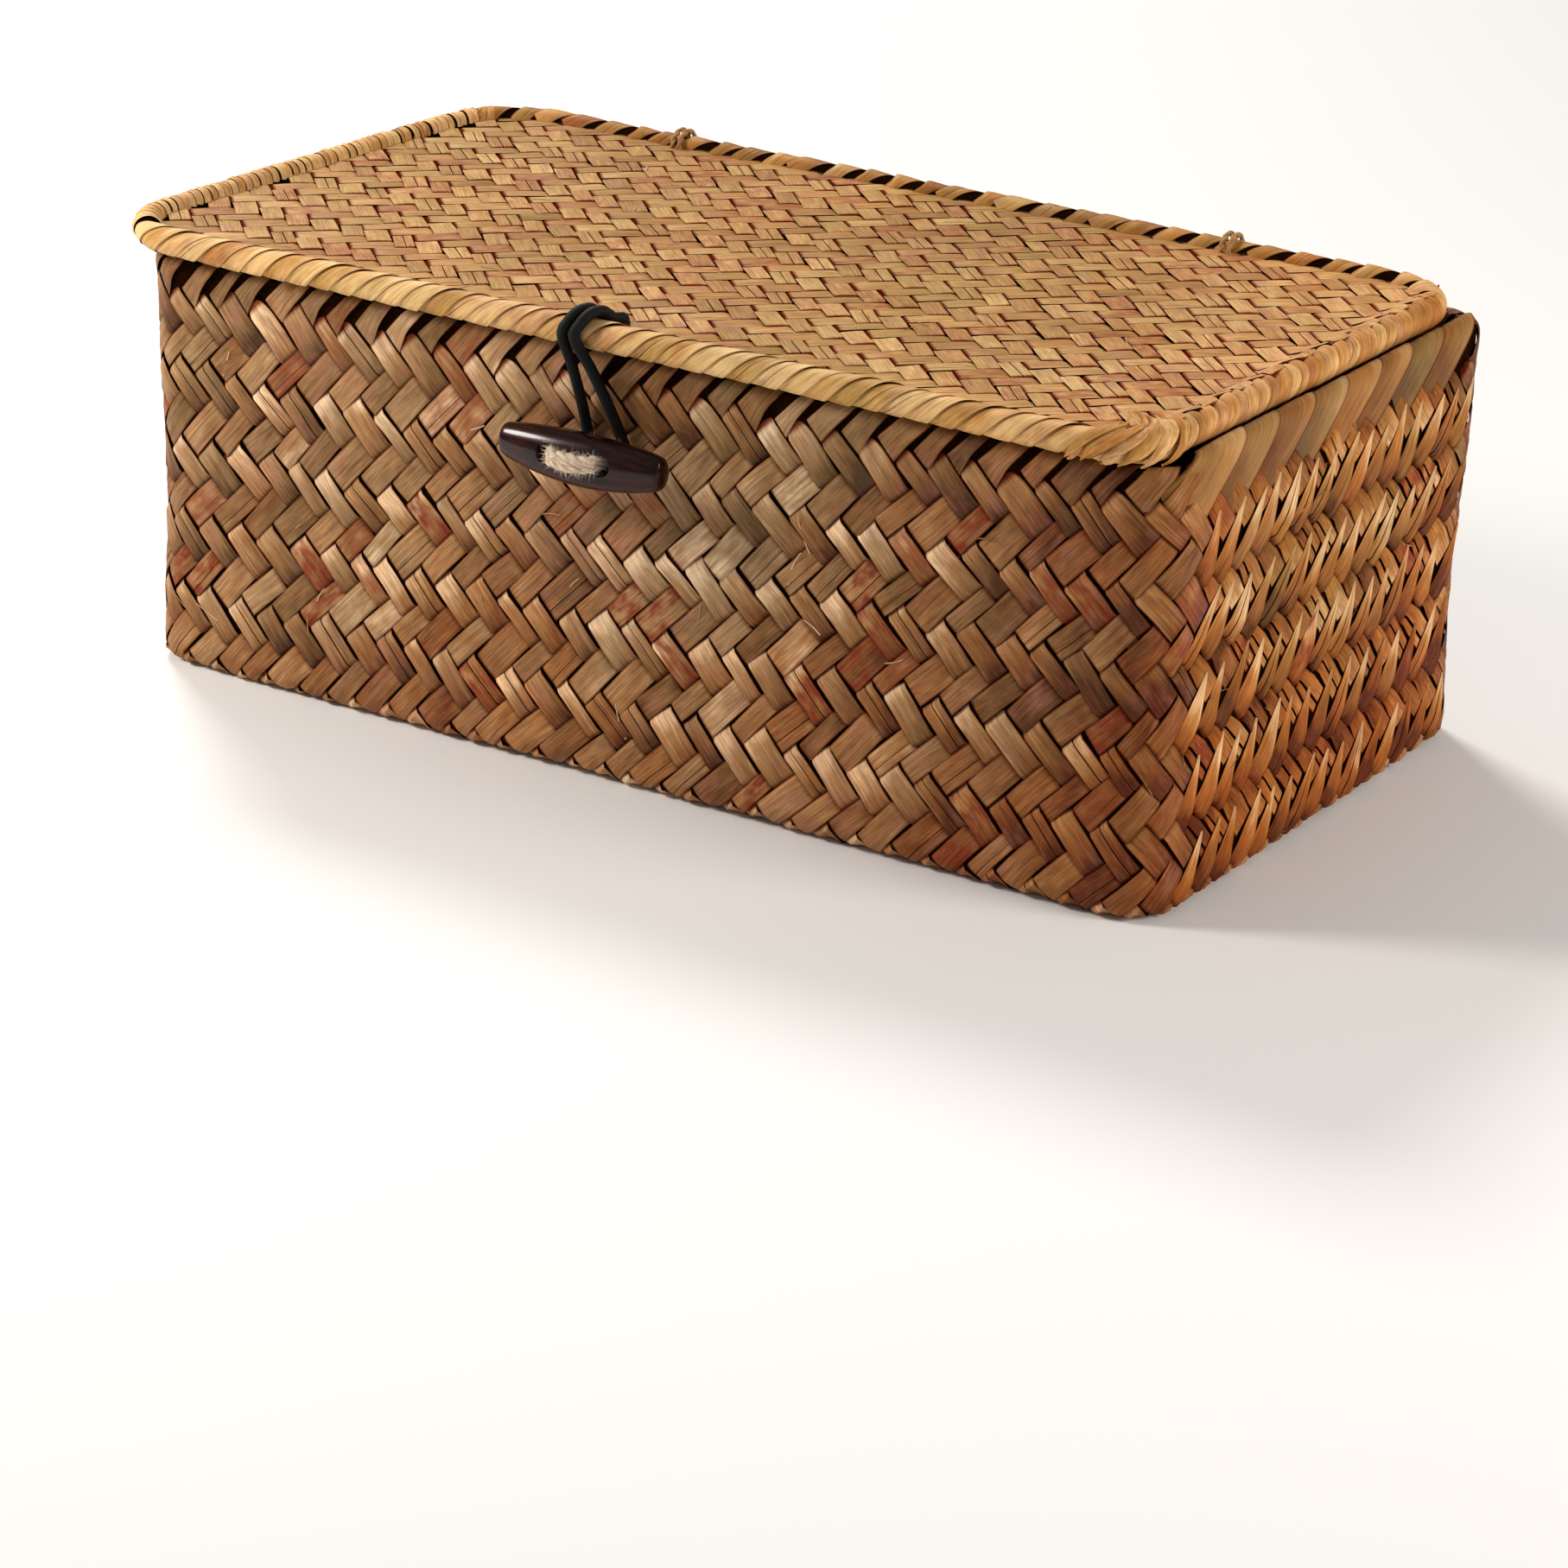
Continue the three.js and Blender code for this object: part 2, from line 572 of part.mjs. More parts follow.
// Hinge tie: twine wound through the back wall and round the lid's roll, knotted outside
function tiePath(x) {
  const arcY = (TIE_INNER_Y + TIE_OUTER_Y) / 2;
  const arcRadius = (TIE_OUTER_Y - TIE_INNER_Y) / 2;
  const wallInnerY = BODY_DEPTH / 2 - RIM_THICKNESS;
  const knotZ = BODY_HEIGHT - TIE_KNOT_DROP;
  const arcSteps = 6;
  const standOffShare = 1.6;
  const turn = [[TIE_OUTER_Y, knotZ], [TIE_OUTER_Y, (knotZ + ROLL_Z) / 2]];
  for (let i = 0; i <= arcSteps; i += 1) {
    const angle = Math.PI * i / arcSteps;
    turn.push([arcY + arcRadius * Math.cos(angle), ROLL_Z + arcRadius * Math.sin(angle)]);
  }
  turn.push([TIE_INNER_Y + TIE_RADIUS / 2, (ROLL_Z + SHOULDER_Z) / 2]);
  turn.push([wallInnerY - TIE_DIAMETER * standOffShare, SHOULDER_Z - CLEARANCE]);
  turn.push([wallInnerY, TIE_HOLE_Z]);
  turn.push([BODY_DEPTH / 2 - TIE_RADIUS, TIE_HOLE_Z]);
  turn.push([TIE_OUTER_Y, TIE_HOLE_Z + TIE_DIAMETER]);
  const count = turn.length * TIE_TURNS;
  return Array.from({ length: count + 1 }, (_, i) => {
    const [y, z] = turn[i % turn.length];
    return [x + TIE_PITCH * TIE_TURNS * (i / count - 0.5), y, z];
  });
}

function hingeTie(x) {
  const stepsPerTurn = 27;
  const twine = strand(tiePath(x), TIE_DIAMETER, stepsPerTurn * TIE_TURNS, 6);
  const knotY = BODY_DEPTH / 2 + CLEARANCE + TIE_KNOT_DEPTH / 2;
  const knotZ = BODY_HEIGHT - TIE_KNOT_DROP;
  return join([twine, lump([x, knotY, knotZ], [TIE_KNOT_WIDTH, TIE_KNOT_DEPTH, TIE_KNOT_HEIGHT])]);
}

// Least gap between one turn of a tie and the next, measured on points of its path
function tieGap() {
  const path = new THREE.CatmullRomCurve3(
    tiePath(0).map((p) => new THREE.Vector3(...p)),
    false,
    'centripetal',
  );
  const count = 400;
  const points = path.getSpacedPoints(count);
  const turn = Math.floor(count / TIE_TURNS / 2);
  let least = Infinity;
  points.forEach((p, i) => {
    points.slice(i + turn).forEach((q) => {
      least = Math.min(least, p.distanceTo(q) - TIE_DIAMETER);
    });
  });
  return least;
}

const straw = { roughness: 0.72, metalness: 0 };
const twine = { color: '#b59a72', roughness: 0.95, metalness: 0 };

function piece(name, geometry, look) {
  const mesh = new THREE.Mesh(geometry, new THREE.MeshStandardMaterial(look));
  mesh.name = name;
  return mesh;
}

const body = new THREE.Group();
body.add(piece('woven_body', wovenBody(), { ...straw, color: '#a9773f' }));
body.add(piece('rim_fold', rimFold(), { ...straw, color: '#b58b52' }));
body.add(piece('rim_splint', rimSplint(), { color: '#c9a873', roughness: 0.6, metalness: 0 }));
body.add(piece('toggle_shank', toggleShank(), twine));
['hinge_tie_left', 'hinge_tie_right'].forEach((name, i) => {
  body.add(piece(name, hingeTie(tieXs[i]), twine));
});

const lid = new THREE.Group();
lid.add(piece('lid_panel', lidPanel(), { ...straw, color: '#c08f55' }));
lid.add(piece('lid_rim', lidRim(), { ...straw, color: '#c49a5c' }));
lid.add(piece('lid_hoop', lidHoop(), { color: '#c9a873', roughness: 0.6, metalness: 0 }));
lid.add(piece('loop_knot', loopKnot(), { color: '#15191a', roughness: 0.6, metalness: 0 }));

const closure = new THREE.Group();
closure.add(piece('elastic_loop', elasticLoop(), { color: '#15191a', roughness: 0.6, metalness: 0 }));
closure.add(piece('toggle', toggleBody(), { color: '#2c1512', roughness: 0.25, metalness: 0 }));
closure.add(piece('toggle_stitch', toggleStitch(), twine));

console.log('least gap between the turns of a hinge tie:', tieGap().toFixed(2), 'mm');

const box = new THREE.Group();
box.add(body, lid, closure);

export default box;
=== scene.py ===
import bmesh
import bpy
from math import atan2, ceil, cos, dist, hypot, pi, radians, sin, sqrt
from mathutils import Euler, Matrix, Vector


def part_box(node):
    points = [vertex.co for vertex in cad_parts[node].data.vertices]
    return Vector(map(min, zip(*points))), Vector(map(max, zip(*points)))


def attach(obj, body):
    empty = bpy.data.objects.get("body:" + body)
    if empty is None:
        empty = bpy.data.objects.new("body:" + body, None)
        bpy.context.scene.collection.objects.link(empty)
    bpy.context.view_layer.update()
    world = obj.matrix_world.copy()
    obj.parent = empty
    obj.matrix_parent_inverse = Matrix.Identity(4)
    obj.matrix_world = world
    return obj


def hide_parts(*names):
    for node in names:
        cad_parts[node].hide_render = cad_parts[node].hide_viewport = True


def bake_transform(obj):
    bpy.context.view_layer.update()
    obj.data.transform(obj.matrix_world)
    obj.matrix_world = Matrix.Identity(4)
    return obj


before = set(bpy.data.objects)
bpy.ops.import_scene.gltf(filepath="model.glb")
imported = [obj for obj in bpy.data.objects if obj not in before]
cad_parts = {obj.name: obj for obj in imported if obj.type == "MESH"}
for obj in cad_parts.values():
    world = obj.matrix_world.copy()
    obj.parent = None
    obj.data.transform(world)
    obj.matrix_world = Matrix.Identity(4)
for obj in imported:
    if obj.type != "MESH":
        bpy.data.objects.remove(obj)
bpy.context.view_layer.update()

# Plaited straw box with a hinged lid, an elastic loop and a toggle. Metres, +Z up, front towards -Y.

mm = 0.001
scene = bpy.context.scene
rigid = {node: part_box(node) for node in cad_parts}    # lowest and highest corner of each solid


# Node trees

class Field:
    # a socket that takes part in sums, each of which becomes a Math node
    def __init__(self, tree, socket):
        self.tree, self.socket = tree, socket


def addOperator(name, operation, swapped):
    def work(self, other):
        return self.tree.math(operation, *((other, self) if swapped else (self, other)))
    setattr(Field, name, work)


for word, operation in (("add", "ADD"), ("sub", "SUBTRACT"), ("mul", "MULTIPLY"), ("truediv", "DIVIDE"),
                        ("mod", "FLOORED_MODULO")):
    addOperator(f"__{word}__", operation, False)
    addOperator(f"__r{word}__", operation, True)


class Tree:
    def __init__(self, group):
        self.group = group
        self.identifiers = {}

    def feed(self, socket, value):
        if isinstance(value, Field):
            self.group.links.new(value.socket, socket)
        else:
            socket.default_value = value

    def add(self, kind, values=None, **settings):
        node = self.group.nodes.new(kind)
        for name, setting in settings.items():
            setattr(node, name, setting)
        for name, value in (values or {}).items():
            if isinstance(name, int):
                self.feed(node.inputs[name], value)
            else:
                self.feed(next(s for s in node.inputs if s.enabled and s.name == name), value)
        return node

    def read(self, node, name=None):
        live = [s for s in node.outputs if s.enabled]
        return Field(self, live[0] if name is None else next(s for s in live if s.name == name))

    def get(self, kind, values=None, output=None, **settings):
        return self.read(self.add(kind, values, **settings), output)

    def math(self, operation, *values):
        return self.get("ShaderNodeMath", dict(enumerate(values)), operation=operation)

    def vector(self, operation, *values):
        return self.get("ShaderNodeVectorMath", dict(enumerate(values)), operation=operation)

    def scaled(self, vector, factor):
        return self.get("ShaderNodeVectorMath", {"Vector": vector, "Scale": factor}, operation="SCALE")

    def combine(self, x=0.0, y=0.0, z=0.0):
        return self.get("ShaderNodeCombineXYZ", {0: x, 1: y, 2: z})

    def split(self, vector):
        node = self.add("ShaderNodeSeparateXYZ", {0: vector})
        return [Field(self, socket) for socket in node.outputs]

    def mapRange(self, value, fromLow, fromHigh, toLow, toHigh, smooth=False):
        kind = "SMOOTHSTEP" if smooth else "LINEAR"
        spans = dict(enumerate([value, fromLow, fromHigh, toLow, toHigh]))
        return self.get("ShaderNodeMapRange", spans, interpolation_type=kind)

    def noise(self, place, scale, detail, output=None, roughness=0.5):
        values = {"Vector": place, "Scale": scale, "Detail": detail, "Roughness": roughness}
        return self.get("ShaderNodeTexNoise", values, output)


class GeometryTree(Tree):
    # a Geometry Nodes tree whose inputs are named, and which ends in Realize Instances and Set Material
    def __init__(self, name):
        super().__init__(bpy.data.node_groups.new(name, "GeometryNodeTree"))
        self.group.interface.new_socket(name="Geometry", in_out="OUTPUT", socket_type="NodeSocketGeometry")
        self.entry = self.group.nodes.new("NodeGroupInput")
        self.exit = self.group.nodes.new("NodeGroupOutput")

    def input(self, name, kind="Float"):
        item = self.group.interface.new_socket(name=name, in_out="INPUT", socket_type="NodeSocket" + kind)
        self.identifiers[name] = item.identifier
        return Field(self, next(s for s in self.entry.outputs if s.identifier == item.identifier))

    def inputs(self, *names, kind="Float"):
        return [self.input(name, kind) for name in names]

    def random(self, low, high, ident, seed):
        values = {"Min": low, "Max": high, "ID": ident, "Seed": seed}
        return self.get("FunctionNodeRandomValue", values, data_type="FLOAT")

    def change(self, kind, geometry, values, **settings):
        return self.get("GeometryNode" + kind, {"Geometry": geometry, **values}, **settings)

    def store(self, geometry, name, value, kind="FLOAT_VECTOR"):
        values = {"Name": name, "Value": value}
        return self.change("StoreNamedAttribute", geometry, values, data_type=kind, domain="POINT")

    def without(self, geometry, selection):
        return self.change("DeleteGeometry", geometry, {"Selection": selection}, domain="POINT")

    def moved(self, geometry, **values):
        return self.change("SetPosition", geometry, values)

    def places(self):
        return self.split(self.get("GeometryNodeInputPosition"))

    def guide(self, label):
        # the curve of a guide object that is given as an input
        return self.get("GeometryNodeObjectInfo", {"Object": self.input(label, "Object")}, "Geometry")

    def along(self, curve, distance):
        node = self.add("GeometryNodeSampleCurve", {"Curves": curve, "Length": distance}, mode="LENGTH")
        return self.read(node, "Position"), self.read(node, "Tangent")

    def finish(self, geometry):
        solid = self.get("GeometryNodeRealizeInstances", {0: geometry})
        shaded = self.change("SetShadeSmooth", solid, {"Shade Smooth": True})
        painted = self.change("SetMaterial", shaded, {"Material": self.input("Material", "Material")})
        self.group.links.new(painted.socket, self.exit.inputs[0])


def linked(name, data):
    thing = bpy.data.objects.new(name, data)
    scene.collection.objects.link(thing)
    return thing


def newMesh(name, vertices, faces):
    mesh = bpy.data.meshes.new(name)
    mesh.from_pydata(vertices, [], faces)
    return mesh


def buildPiece(name, tree, values):
    # runs a tree with these inputs and keeps the result as a plain mesh
    piece = linked(name, bpy.data.meshes.new(name))
    modifier = piece.modifiers.new("Build", "NODES")
    modifier.node_group = tree.group
    for label, value in values.items():
        modifier[tree.identifiers[label]] = value
    depsgraph = bpy.context.evaluated_depsgraph_get()
    evaluated = piece.evaluated_get(depsgraph)
    mesh = bpy.data.meshes.new_from_object(evaluated, preserve_all_data_layers=True, depsgraph=depsgraph)
    piece.modifiers.remove(modifier)
    mesh.set_sharp_from_angle(angle=radians(50))
    piece.data = mesh
    mesh.name = name
    return piece


# Guides that the trees follow; they are removed at the end

guides = []


def guideCurve(name, points, cyclic=False):
    curve = bpy.data.curves.new(name, "CURVE")
    curve.dimensions = "3D"
    spline = curve.splines.new("POLY")
    spline.points.add(len(points) - 1)
    for place, point in zip(spline.points, points):
        place.co = (*point, 1)
    spline.use_cyclic_u = cyclic
    guides.append(linked(name, curve))
    return guides[-1]


def roundedOutline(low, high, radii, step=2 * mm):
    # counter-clockwise from the left end of the front side, with the radius of the corner after each side
    points = []
    centre = [(low[k] + high[k]) / 2 for k in (0, 1)]
    sides = [high[0] - low[0], high[1] - low[1]] * 2
    for side, full in enumerate(sides):
        heading = side * pi / 2
        along = Vector((cos(heading), sin(heading), 0))
        out = Vector((sin(heading), -cos(heading), 0))
        before, after, deep = radii[side - 1], radii[side], sides[side - 1] / 2
        run = full - before - after
        count = round(run / step)
        for i in range(count):
            points.append(along * (run * i / count + before - full / 2) + out * deep)
        bends = round(pi / 2 * after / step)
        for i in range(bends):
            turn = pi / 2 * i / bends
            further, inward = after * (1 - sin(turn)), after * (1 - cos(turn))
            points.append(along * (full / 2 - further) + out * (deep - inward))
    return [(p.x + centre[0], p.y + centre[1], 0) for p in points]


def smoothLine(corners, step=0.5 * mm):
    # evenly spaced points on a smooth line through the corners
    path = [Vector(corner) for corner in corners]
    points = []
    for i in range(len(path) - 1):
        before, start, end, after = path[max(i - 1, 0)], path[i], path[i + 1], path[min(i + 2, len(path) - 1)]
        count = max(1, round((end - start).length / step))
        for k in range(count):
            t = k / count
            bend = (3 * start - before - 3 * end + after) * t + 2 * before - 5 * start + 4 * end - after
            points.append(tuple(start + 0.5 * t * (end - before + t * bend)))
    return points + [tuple(path[-1])]


def profilePoints(corners, step=0.7 * mm):
    # a profile in mesh form: outward distance along X, height along Z
    return smoothLine([(x, 0, z) for x, z in corners], step)


def arcPoints(radius, height, first, last, count=40):
    # a round section about the path, walked from one angle to another; 0 faces outwards
    turns = [radians(first + (last - first) * i / count) for i in range(count + 1)]
    return [(radius * cos(turn), 0, height + radius * sin(turn)) for turn in turns]


def lengthOf(points):
    return sum(dist(a, b) for a, b in zip(points, points[1:]))


# Strips of straw, one unit wide and measured along in strip widths

whole = ((-0.5, 0.5),)


def cleft(left, right):
    # a strip that is split along its length
    return ((-0.5, left), (right, 0.5))


def stripMesh(name, stations, rise, edges, crown, tilt, sway=0.0, parts=whole, thickness=0.5, aspect=1.0,
              columns=5):
    # closed strips along Y, flat below and crowned above; "grain" holds the place across and along
    vertices, faces, grain = [], [], []
    acrossTop = [i / (columns - 1) for i in range(columns)]
    acrossBottom = [share for share in reversed(acrossTop) if 0 < share < 1]
    for low, high in parts:
        first = len(vertices)
        for y in stations:
            left, right = edges(y) if edges else (-0.5, 0.5)
            for row, shares in enumerate((acrossTop, acrossBottom)):
                for share in shares:
                    x = low + (high - low) * share
                    bow = crown * (high - low) * (1 - (2 * share - 1) ** 2)
                    z = rise(y) + bow + tilt * x - row * thickness
                    vertices.append((left + (right - left) * (x + 0.5) + sway * y * y, y, z * mm))
                    grain.append((x, y * aspect, low))
        count = len(acrossTop) + len(acrossBottom)
        for j in range(len(stations) - 1):
            a = first + j * count
            for i in range(count):
                k = (i + 1) % count
                faces.append((a + i, a + k, a + count + k, a + count + i))
        faces.append([first + count - 1 - i for i in range(count)])
        last = first + (len(stations) - 1) * count
        faces.append([last + i for i in range(count)])
    mesh = newMesh(name, vertices, faces)
    attribute = mesh.attributes.new("grain", "FLOAT_VECTOR", "POINT")
    attribute.data.foreach_set("vector", [value for point in grain for value in point])
    return mesh


def stripMeshes(name, stations, shapes, letters="abcdefgh", **common):
    # each shape holds rise, edges, crown, tilt, and then sway and parts where it needs them
    return [stripMesh(f"{name}_{letter}", stations, *shape, **common)
            for letter, shape in zip(letters, shapes)]


def evenStations(first, last, count):
    return [first + (last - first) * i / count for i in range(count + 1)]


def stripCollection(name, meshes):
    # the shapes that a tree picks from; its objects stay out of the scene
    collection = bpy.data.collections.new(name)
    for mesh in meshes:
        collection.objects.link(bpy.data.objects.new(mesh.name, mesh))
    return collection


floatShape = {
    "reach": 1.38,          # half length of a strip where it shows, in strip widths
    "arch": 0.48,           # how far it rises over the strips that it crosses, and dips under the next, in mm
    "flat": 0.82,           # where it starts to dip, in strip widths
    "tuck": 1.16,           # where it lies under the next strips
}


def floatRise(y, arch=1.0, tip=0.0, tucked=True):
    s = floatShape
    t = min(max((abs(y) - s["flat"]) / (s["tuck"] - s["flat"]), 0), 1)
    if y > 0 and not tucked:
        t *= 0.12
    dip = t * t * (3 - 2 * t)
    lift = tip * max(0, 1 - abs(y - 0.86) / 0.3)       # a tip that stands a little proud
    return s["arch"] * arch * (1 - 2 * dip) + 0.08 * (1 - y * y) + lift


def arched(arch, tip=0.0):
    return lambda y: floatRise(y, arch, tip)


def floatStations(last=None):
    low = [-floatShape["reach"], -1.16, -1.06, -0.94, -0.82, -0.2]
    return low + (last or [-y for y in reversed(low)])


def floatMeshes():
    # the first half leans to the right, the second half to the left
    return stripMeshes("float", floatStations(), (
        (arched(1.0), None, 0.1, 0.08),
        (arched(1.1), None, 0.05, 0.22),
        (arched(0.95), None, 0.16, -0.1, 0.02),
        (arched(1.0), None, 0.1, 0.1, 0.0, cleft(0.14, 0.17)),
        (arched(1.1, 0.2), None, 0.18, 0.12, 0.03),
        (arched(1.15, 0.14), None, 0.24, -0.22),
        (arched(1.1, 0.2), None, -0.08, 0.22, -0.03),
        (arched(1.1, 0.2), None, 0.2, 0.14, 0.0, cleft(0.02, 0.07)),
    ))


def flameMeshes():
    # on the short sides: strips whose pointed tips lie over the row above, and others of all widths
    def pointed(start, lean, last=1.76):
        def edges(y):
            t = max(0.0, (y - start) / (last - start))
            return -0.5 + (0.5 + lean) * t ** 1.6, 0.5 - (0.5 - lean) * t ** 0.85
        return edges

    def lifted(rise):
        return lambda y: floatRise(y, 1.1, 0.0, False) + rise * max(0.0, y - 0.35)

    def narrowed(y):
        t = max(0.0, (y - 0.2) / 1.2)
        return -0.5 + 0.1 * t, 0.5 - 0.22 * t

    tipped = stripMeshes("side", floatStations([0.2, 0.5, 0.75, 0.95, 1.15, 1.35, 1.55, 1.72]), (
        (lifted(0.4), pointed(0.1, -0.35), 0.08, 0.4, -0.12),
        (lifted(0.55), pointed(0.4, -0.15), 0.12, 0.3, -0.16),
        (lifted(0.35), pointed(-0.1, -0.5), 0.06, 0.5, -0.08),
        (lifted(0.45), pointed(0.3, -0.1), 0.1, 0.25, -0.2, cleft(-0.05, 0.02)),
    ), thickness=0.4)
    return tipped + stripMeshes("side", floatStations(), (
        (arched(1.0), narrowed, 0.2, 0.3, 0.05),
        (arched(0.9), None, 0.2, -0.25, 0.0, cleft(-0.06, 0.05)),
        (arched(1.0), narrowed, 0.2, 0.2, 0.0, ((-0.5, -0.2), (-0.08, 0.46))),
        (arched(1.1), narrowed, 0.1, 0.45),
    ), "efgh")


def tipMeshes():
    # the uppermost strips that lean to the left: their rounded upper ends show beside the folded strands
    def rounded(full):
        def edges(y):
            t = max(0.0, (y - full) / (1.25 - full))
            drawn = 0.5 - 0.5 * sqrt(max(0.0, 1 - t * t))
            return -0.5 + drawn, 0.5 - drawn * 0.8
        return edges

    def held(y):
        return floatRise(y, 1.0, 0.1, False) - 1.6 * max(0.0, y - 0.95)

    return stripMeshes("tip", floatStations([0.4, 0.65, 0.85, 1.0, 1.1, 1.17, 1.22]), (
        (held, rounded(0.85), 0.2, 0.15),
        (held, rounded(1.0), 0.14, -0.2, 0.04),
        (held, rounded(0.65), 0.26, 0.1, -0.04),
        (held, rounded(0.9), 0.2, 0.1, 0.0, cleft(0.0, 0.05)),
    ))


def leafMeshes():
    # strips of the row above those: they run on over the rim and down inside, and grow narrower on the way
    def drawnIn(least):
        def edges(y):
            t = min(max((y + 0.9) / 1.3, 0), 1) * min(max((3.2 - y) / 1.5, 0), 1)
            return -0.5, 0.5 - least * t * (2 - t)
        return edges

    def held(y):
        return floatRise(min(y, 0), 0.9)

    shapes = ((0.24, 0.1, 0.3), (0.36, 0.06, 0.4), (0.14, 0.16, 0.2), (0.3, 0.12, 0.36))
    return stripMeshes("leaf", floatStations(evenStations(-0.1, 4.4, 34)),
                       [(held, drawnIn(least), crown, tilt) for least, crown, tilt in shapes], columns=7)


def sliverMeshes():
    # loose fibres, each held at its lower end
    def narrow(y):
        return -0.03, 0.03 - 0.03 * max(0.0, y)

    def raised(lift):
        return lambda y: 0.6 + lift * max(0.0, y) ** 2

    shapes = ((0.7, 1.1, 0.1), (0.45, 0.6, -0.2), (0.95, 0.8, 0.25))
    return [stripMesh(f"sliver_{k}", evenStations(-0.35, last, 6), raised(lift), narrow, 0.0, 0.0, sway,
                      thickness=0.14, columns=3) for k, (last, lift, sway) in enumerate(shapes)]


# The plait: strips that lean one way in even rows and the other way in odd rows

def plaitStrips(tree):
    columns, rows, firstRow, seed = tree.inputs("Columns", "Rows", "First Row", "Seed", kind="Int")
    pitchU, pitchV, startU, startV = tree.inputs("Pitch U", "Pitch V", "Start U", "Start V")
    width, length, relief, leftShare = tree.inputs("Strip Width", "Strip Length", "Relief", "Left Share")
    lean, uneven, stray, twist = tree.inputs("Lean", "Uneven Widths", "Stray", "Twist")
    points = tree.get("GeometryNodePoints", {"Count": columns * rows})
    points = tree.store(points, "cell", tree.get("GeometryNodeInputIndex"), "INT")
    cell = tree.get("GeometryNodeInputNamedAttribute", {"Name": "cell"}, "Attribute", data_type="INT")

    def draw(salt, low=-1.0, high=1.0, ident=cell):
        return tree.random(low, high, ident, seed + salt)

    points = tree.without(points, tree.math("GREATER_THAN", draw(12, 0.0), tree.input("Keep")))
    column = cell % columns
    row = tree.math("FLOOR", cell / columns) + firstRow
    falling = row % 2.0                # 0 rises to the right, 1 to the left

    def edge(number, salt):
        # how far the edge between two neighbouring strips strays, the same wherever the strip comes up
        return draw(salt, ident=number % columns) * uneven

    def choose(rising, other):
        return rising + (other - rising) * falling

    down, up = column + row, column - row
    riseBefore, riseOwn, riseNext = (edge(up + k, 1) for k in (-1, 0, 1))
    fallOwn, fallNext, fallAfter = (edge(down + k, 2) for k in (0, 1, 2))
    sumShift = choose((fallOwn + fallAfter) * 0.5, (fallOwn + fallNext) * 0.5)
    differenceShift = choose((riseOwn + riseNext) * 0.5, (riseBefore + riseNext) * 0.5)
    widthShare = choose(riseNext - riseOwn, fallNext - fallOwn) + 1.0
    lengthShare = choose(fallAfter - fallOwn, riseNext - riseBefore) * 0.5 + 1.0

    u = (column + choose(0.75, 0.25) + (sumShift + differenceShift) * 0.5) * pitchU + startU
    v = (row + 0.25 + (sumShift - differenceShift) * 0.5) * pitchV + startV
    place = tree.combine(u + draw(3) * stray, v + draw(4) * stray, draw(5, -0.08 * mm, 0.08 * mm))
    points = tree.moved(points, Position=place)
    stripTone = choose(draw(6, 0.0, ident=up % columns), draw(7, 0.0, ident=down % columns))
    strand = tree.combine(stripTone * 0.45 + draw(8, 0.0) * 0.55, draw(9, 0.0), falling)
    points = tree.store(points, "strand", strand)
    turn = choose(lean - pi / 2, pi / 2 - lean) + draw(10) * twist
    size = tree.combine(width * widthShare * choose(1.0, leftShare), length * lengthShare, relief)
    return points, turn, size, draw(11, 0.0, 0.9999), falling


def placeStrips(tree, points, turn, size, pick, falling):
    # a paired collection holds the strips of the one direction first, and then those of the other
    paired = tree.input("Paired")
    shapes = tree.get("GeometryNodeCollectionInfo", {"Collection": tree.input("Strips", "Collection"),
                                                     "Separate Children": True, "Reset Children": True})
    kinds = tree.get("GeometryNodeAttributeDomainSize", {0: shapes}, "Instance Count", component="INSTANCES")
    share = pick * (paired * -0.5 + 1.0) + falling * paired * 0.5
    placed = tree.get("GeometryNodeInstanceOnPoints", {
        "Points": points, "Instance": shapes, "Pick Instance": True, "Scale": size,
        "Instance Index": tree.math("FLOOR", share * kinds), "Rotation": tree.combine(0.0, 0.0, turn)})
    strips = tree.get("GeometryNodeRealizeInstances", {0: placed})
    return tree.change("RemoveAttribute", strips, {"Name": "cell"})


def wander(tree, geometry):
    # slow unevenness of a thing made by hand
    reach = tree.input("Wander")
    noise = tree.noise(tree.get("GeometryNodeInputPosition"), 38.0, 1.0, "Color")
    shift = tree.scaled(tree.vector("SUBTRACT", noise, (0.5, 0.5, 0.5)), reach)
    return tree.moved(geometry, Offset=shift)


def wallTree():
    # strips laid on the surface that a profile sweeps along an outline; only those in the band are kept
    tree = GeometryTree("Plait on a wall")
    points, *choices = plaitStrips(tree)
    bandStart, bandLength, bandEvery = tree.inputs("Band Start", "Band Length", "Band Every")
    past = tree.math("GREATER_THAN", (tree.places()[0] - bandStart) % bandEvery, bandLength)
    strips = placeStrips(tree, tree.without(points, past), *choices)
    outline, profile = tree.guide("Outline"), tree.guide("Profile")
    u, v, rise = tree.places()
    spot, heading = tree.along(outline, u % tree.get("GeometryNodeCurveLength", {0: outline}))
    level, climb = tree.along(profile, v)
    headX, headY, _ = tree.split(heading)
    reach, _, height = tree.split(level)
    climbX, _, climbZ = tree.split(climb)
    sideways = tree.scaled(tree.combine(headY, headX * -1.0, 0.0), reach + rise * climbZ)
    upward = tree.combine(0.0, 0.0, height - rise * climbX)
    wrapped = tree.vector("ADD", spot, tree.vector("ADD", sideways, upward))
    tree.finish(wander(tree, tree.moved(strips, Position=wrapped)))
    return tree


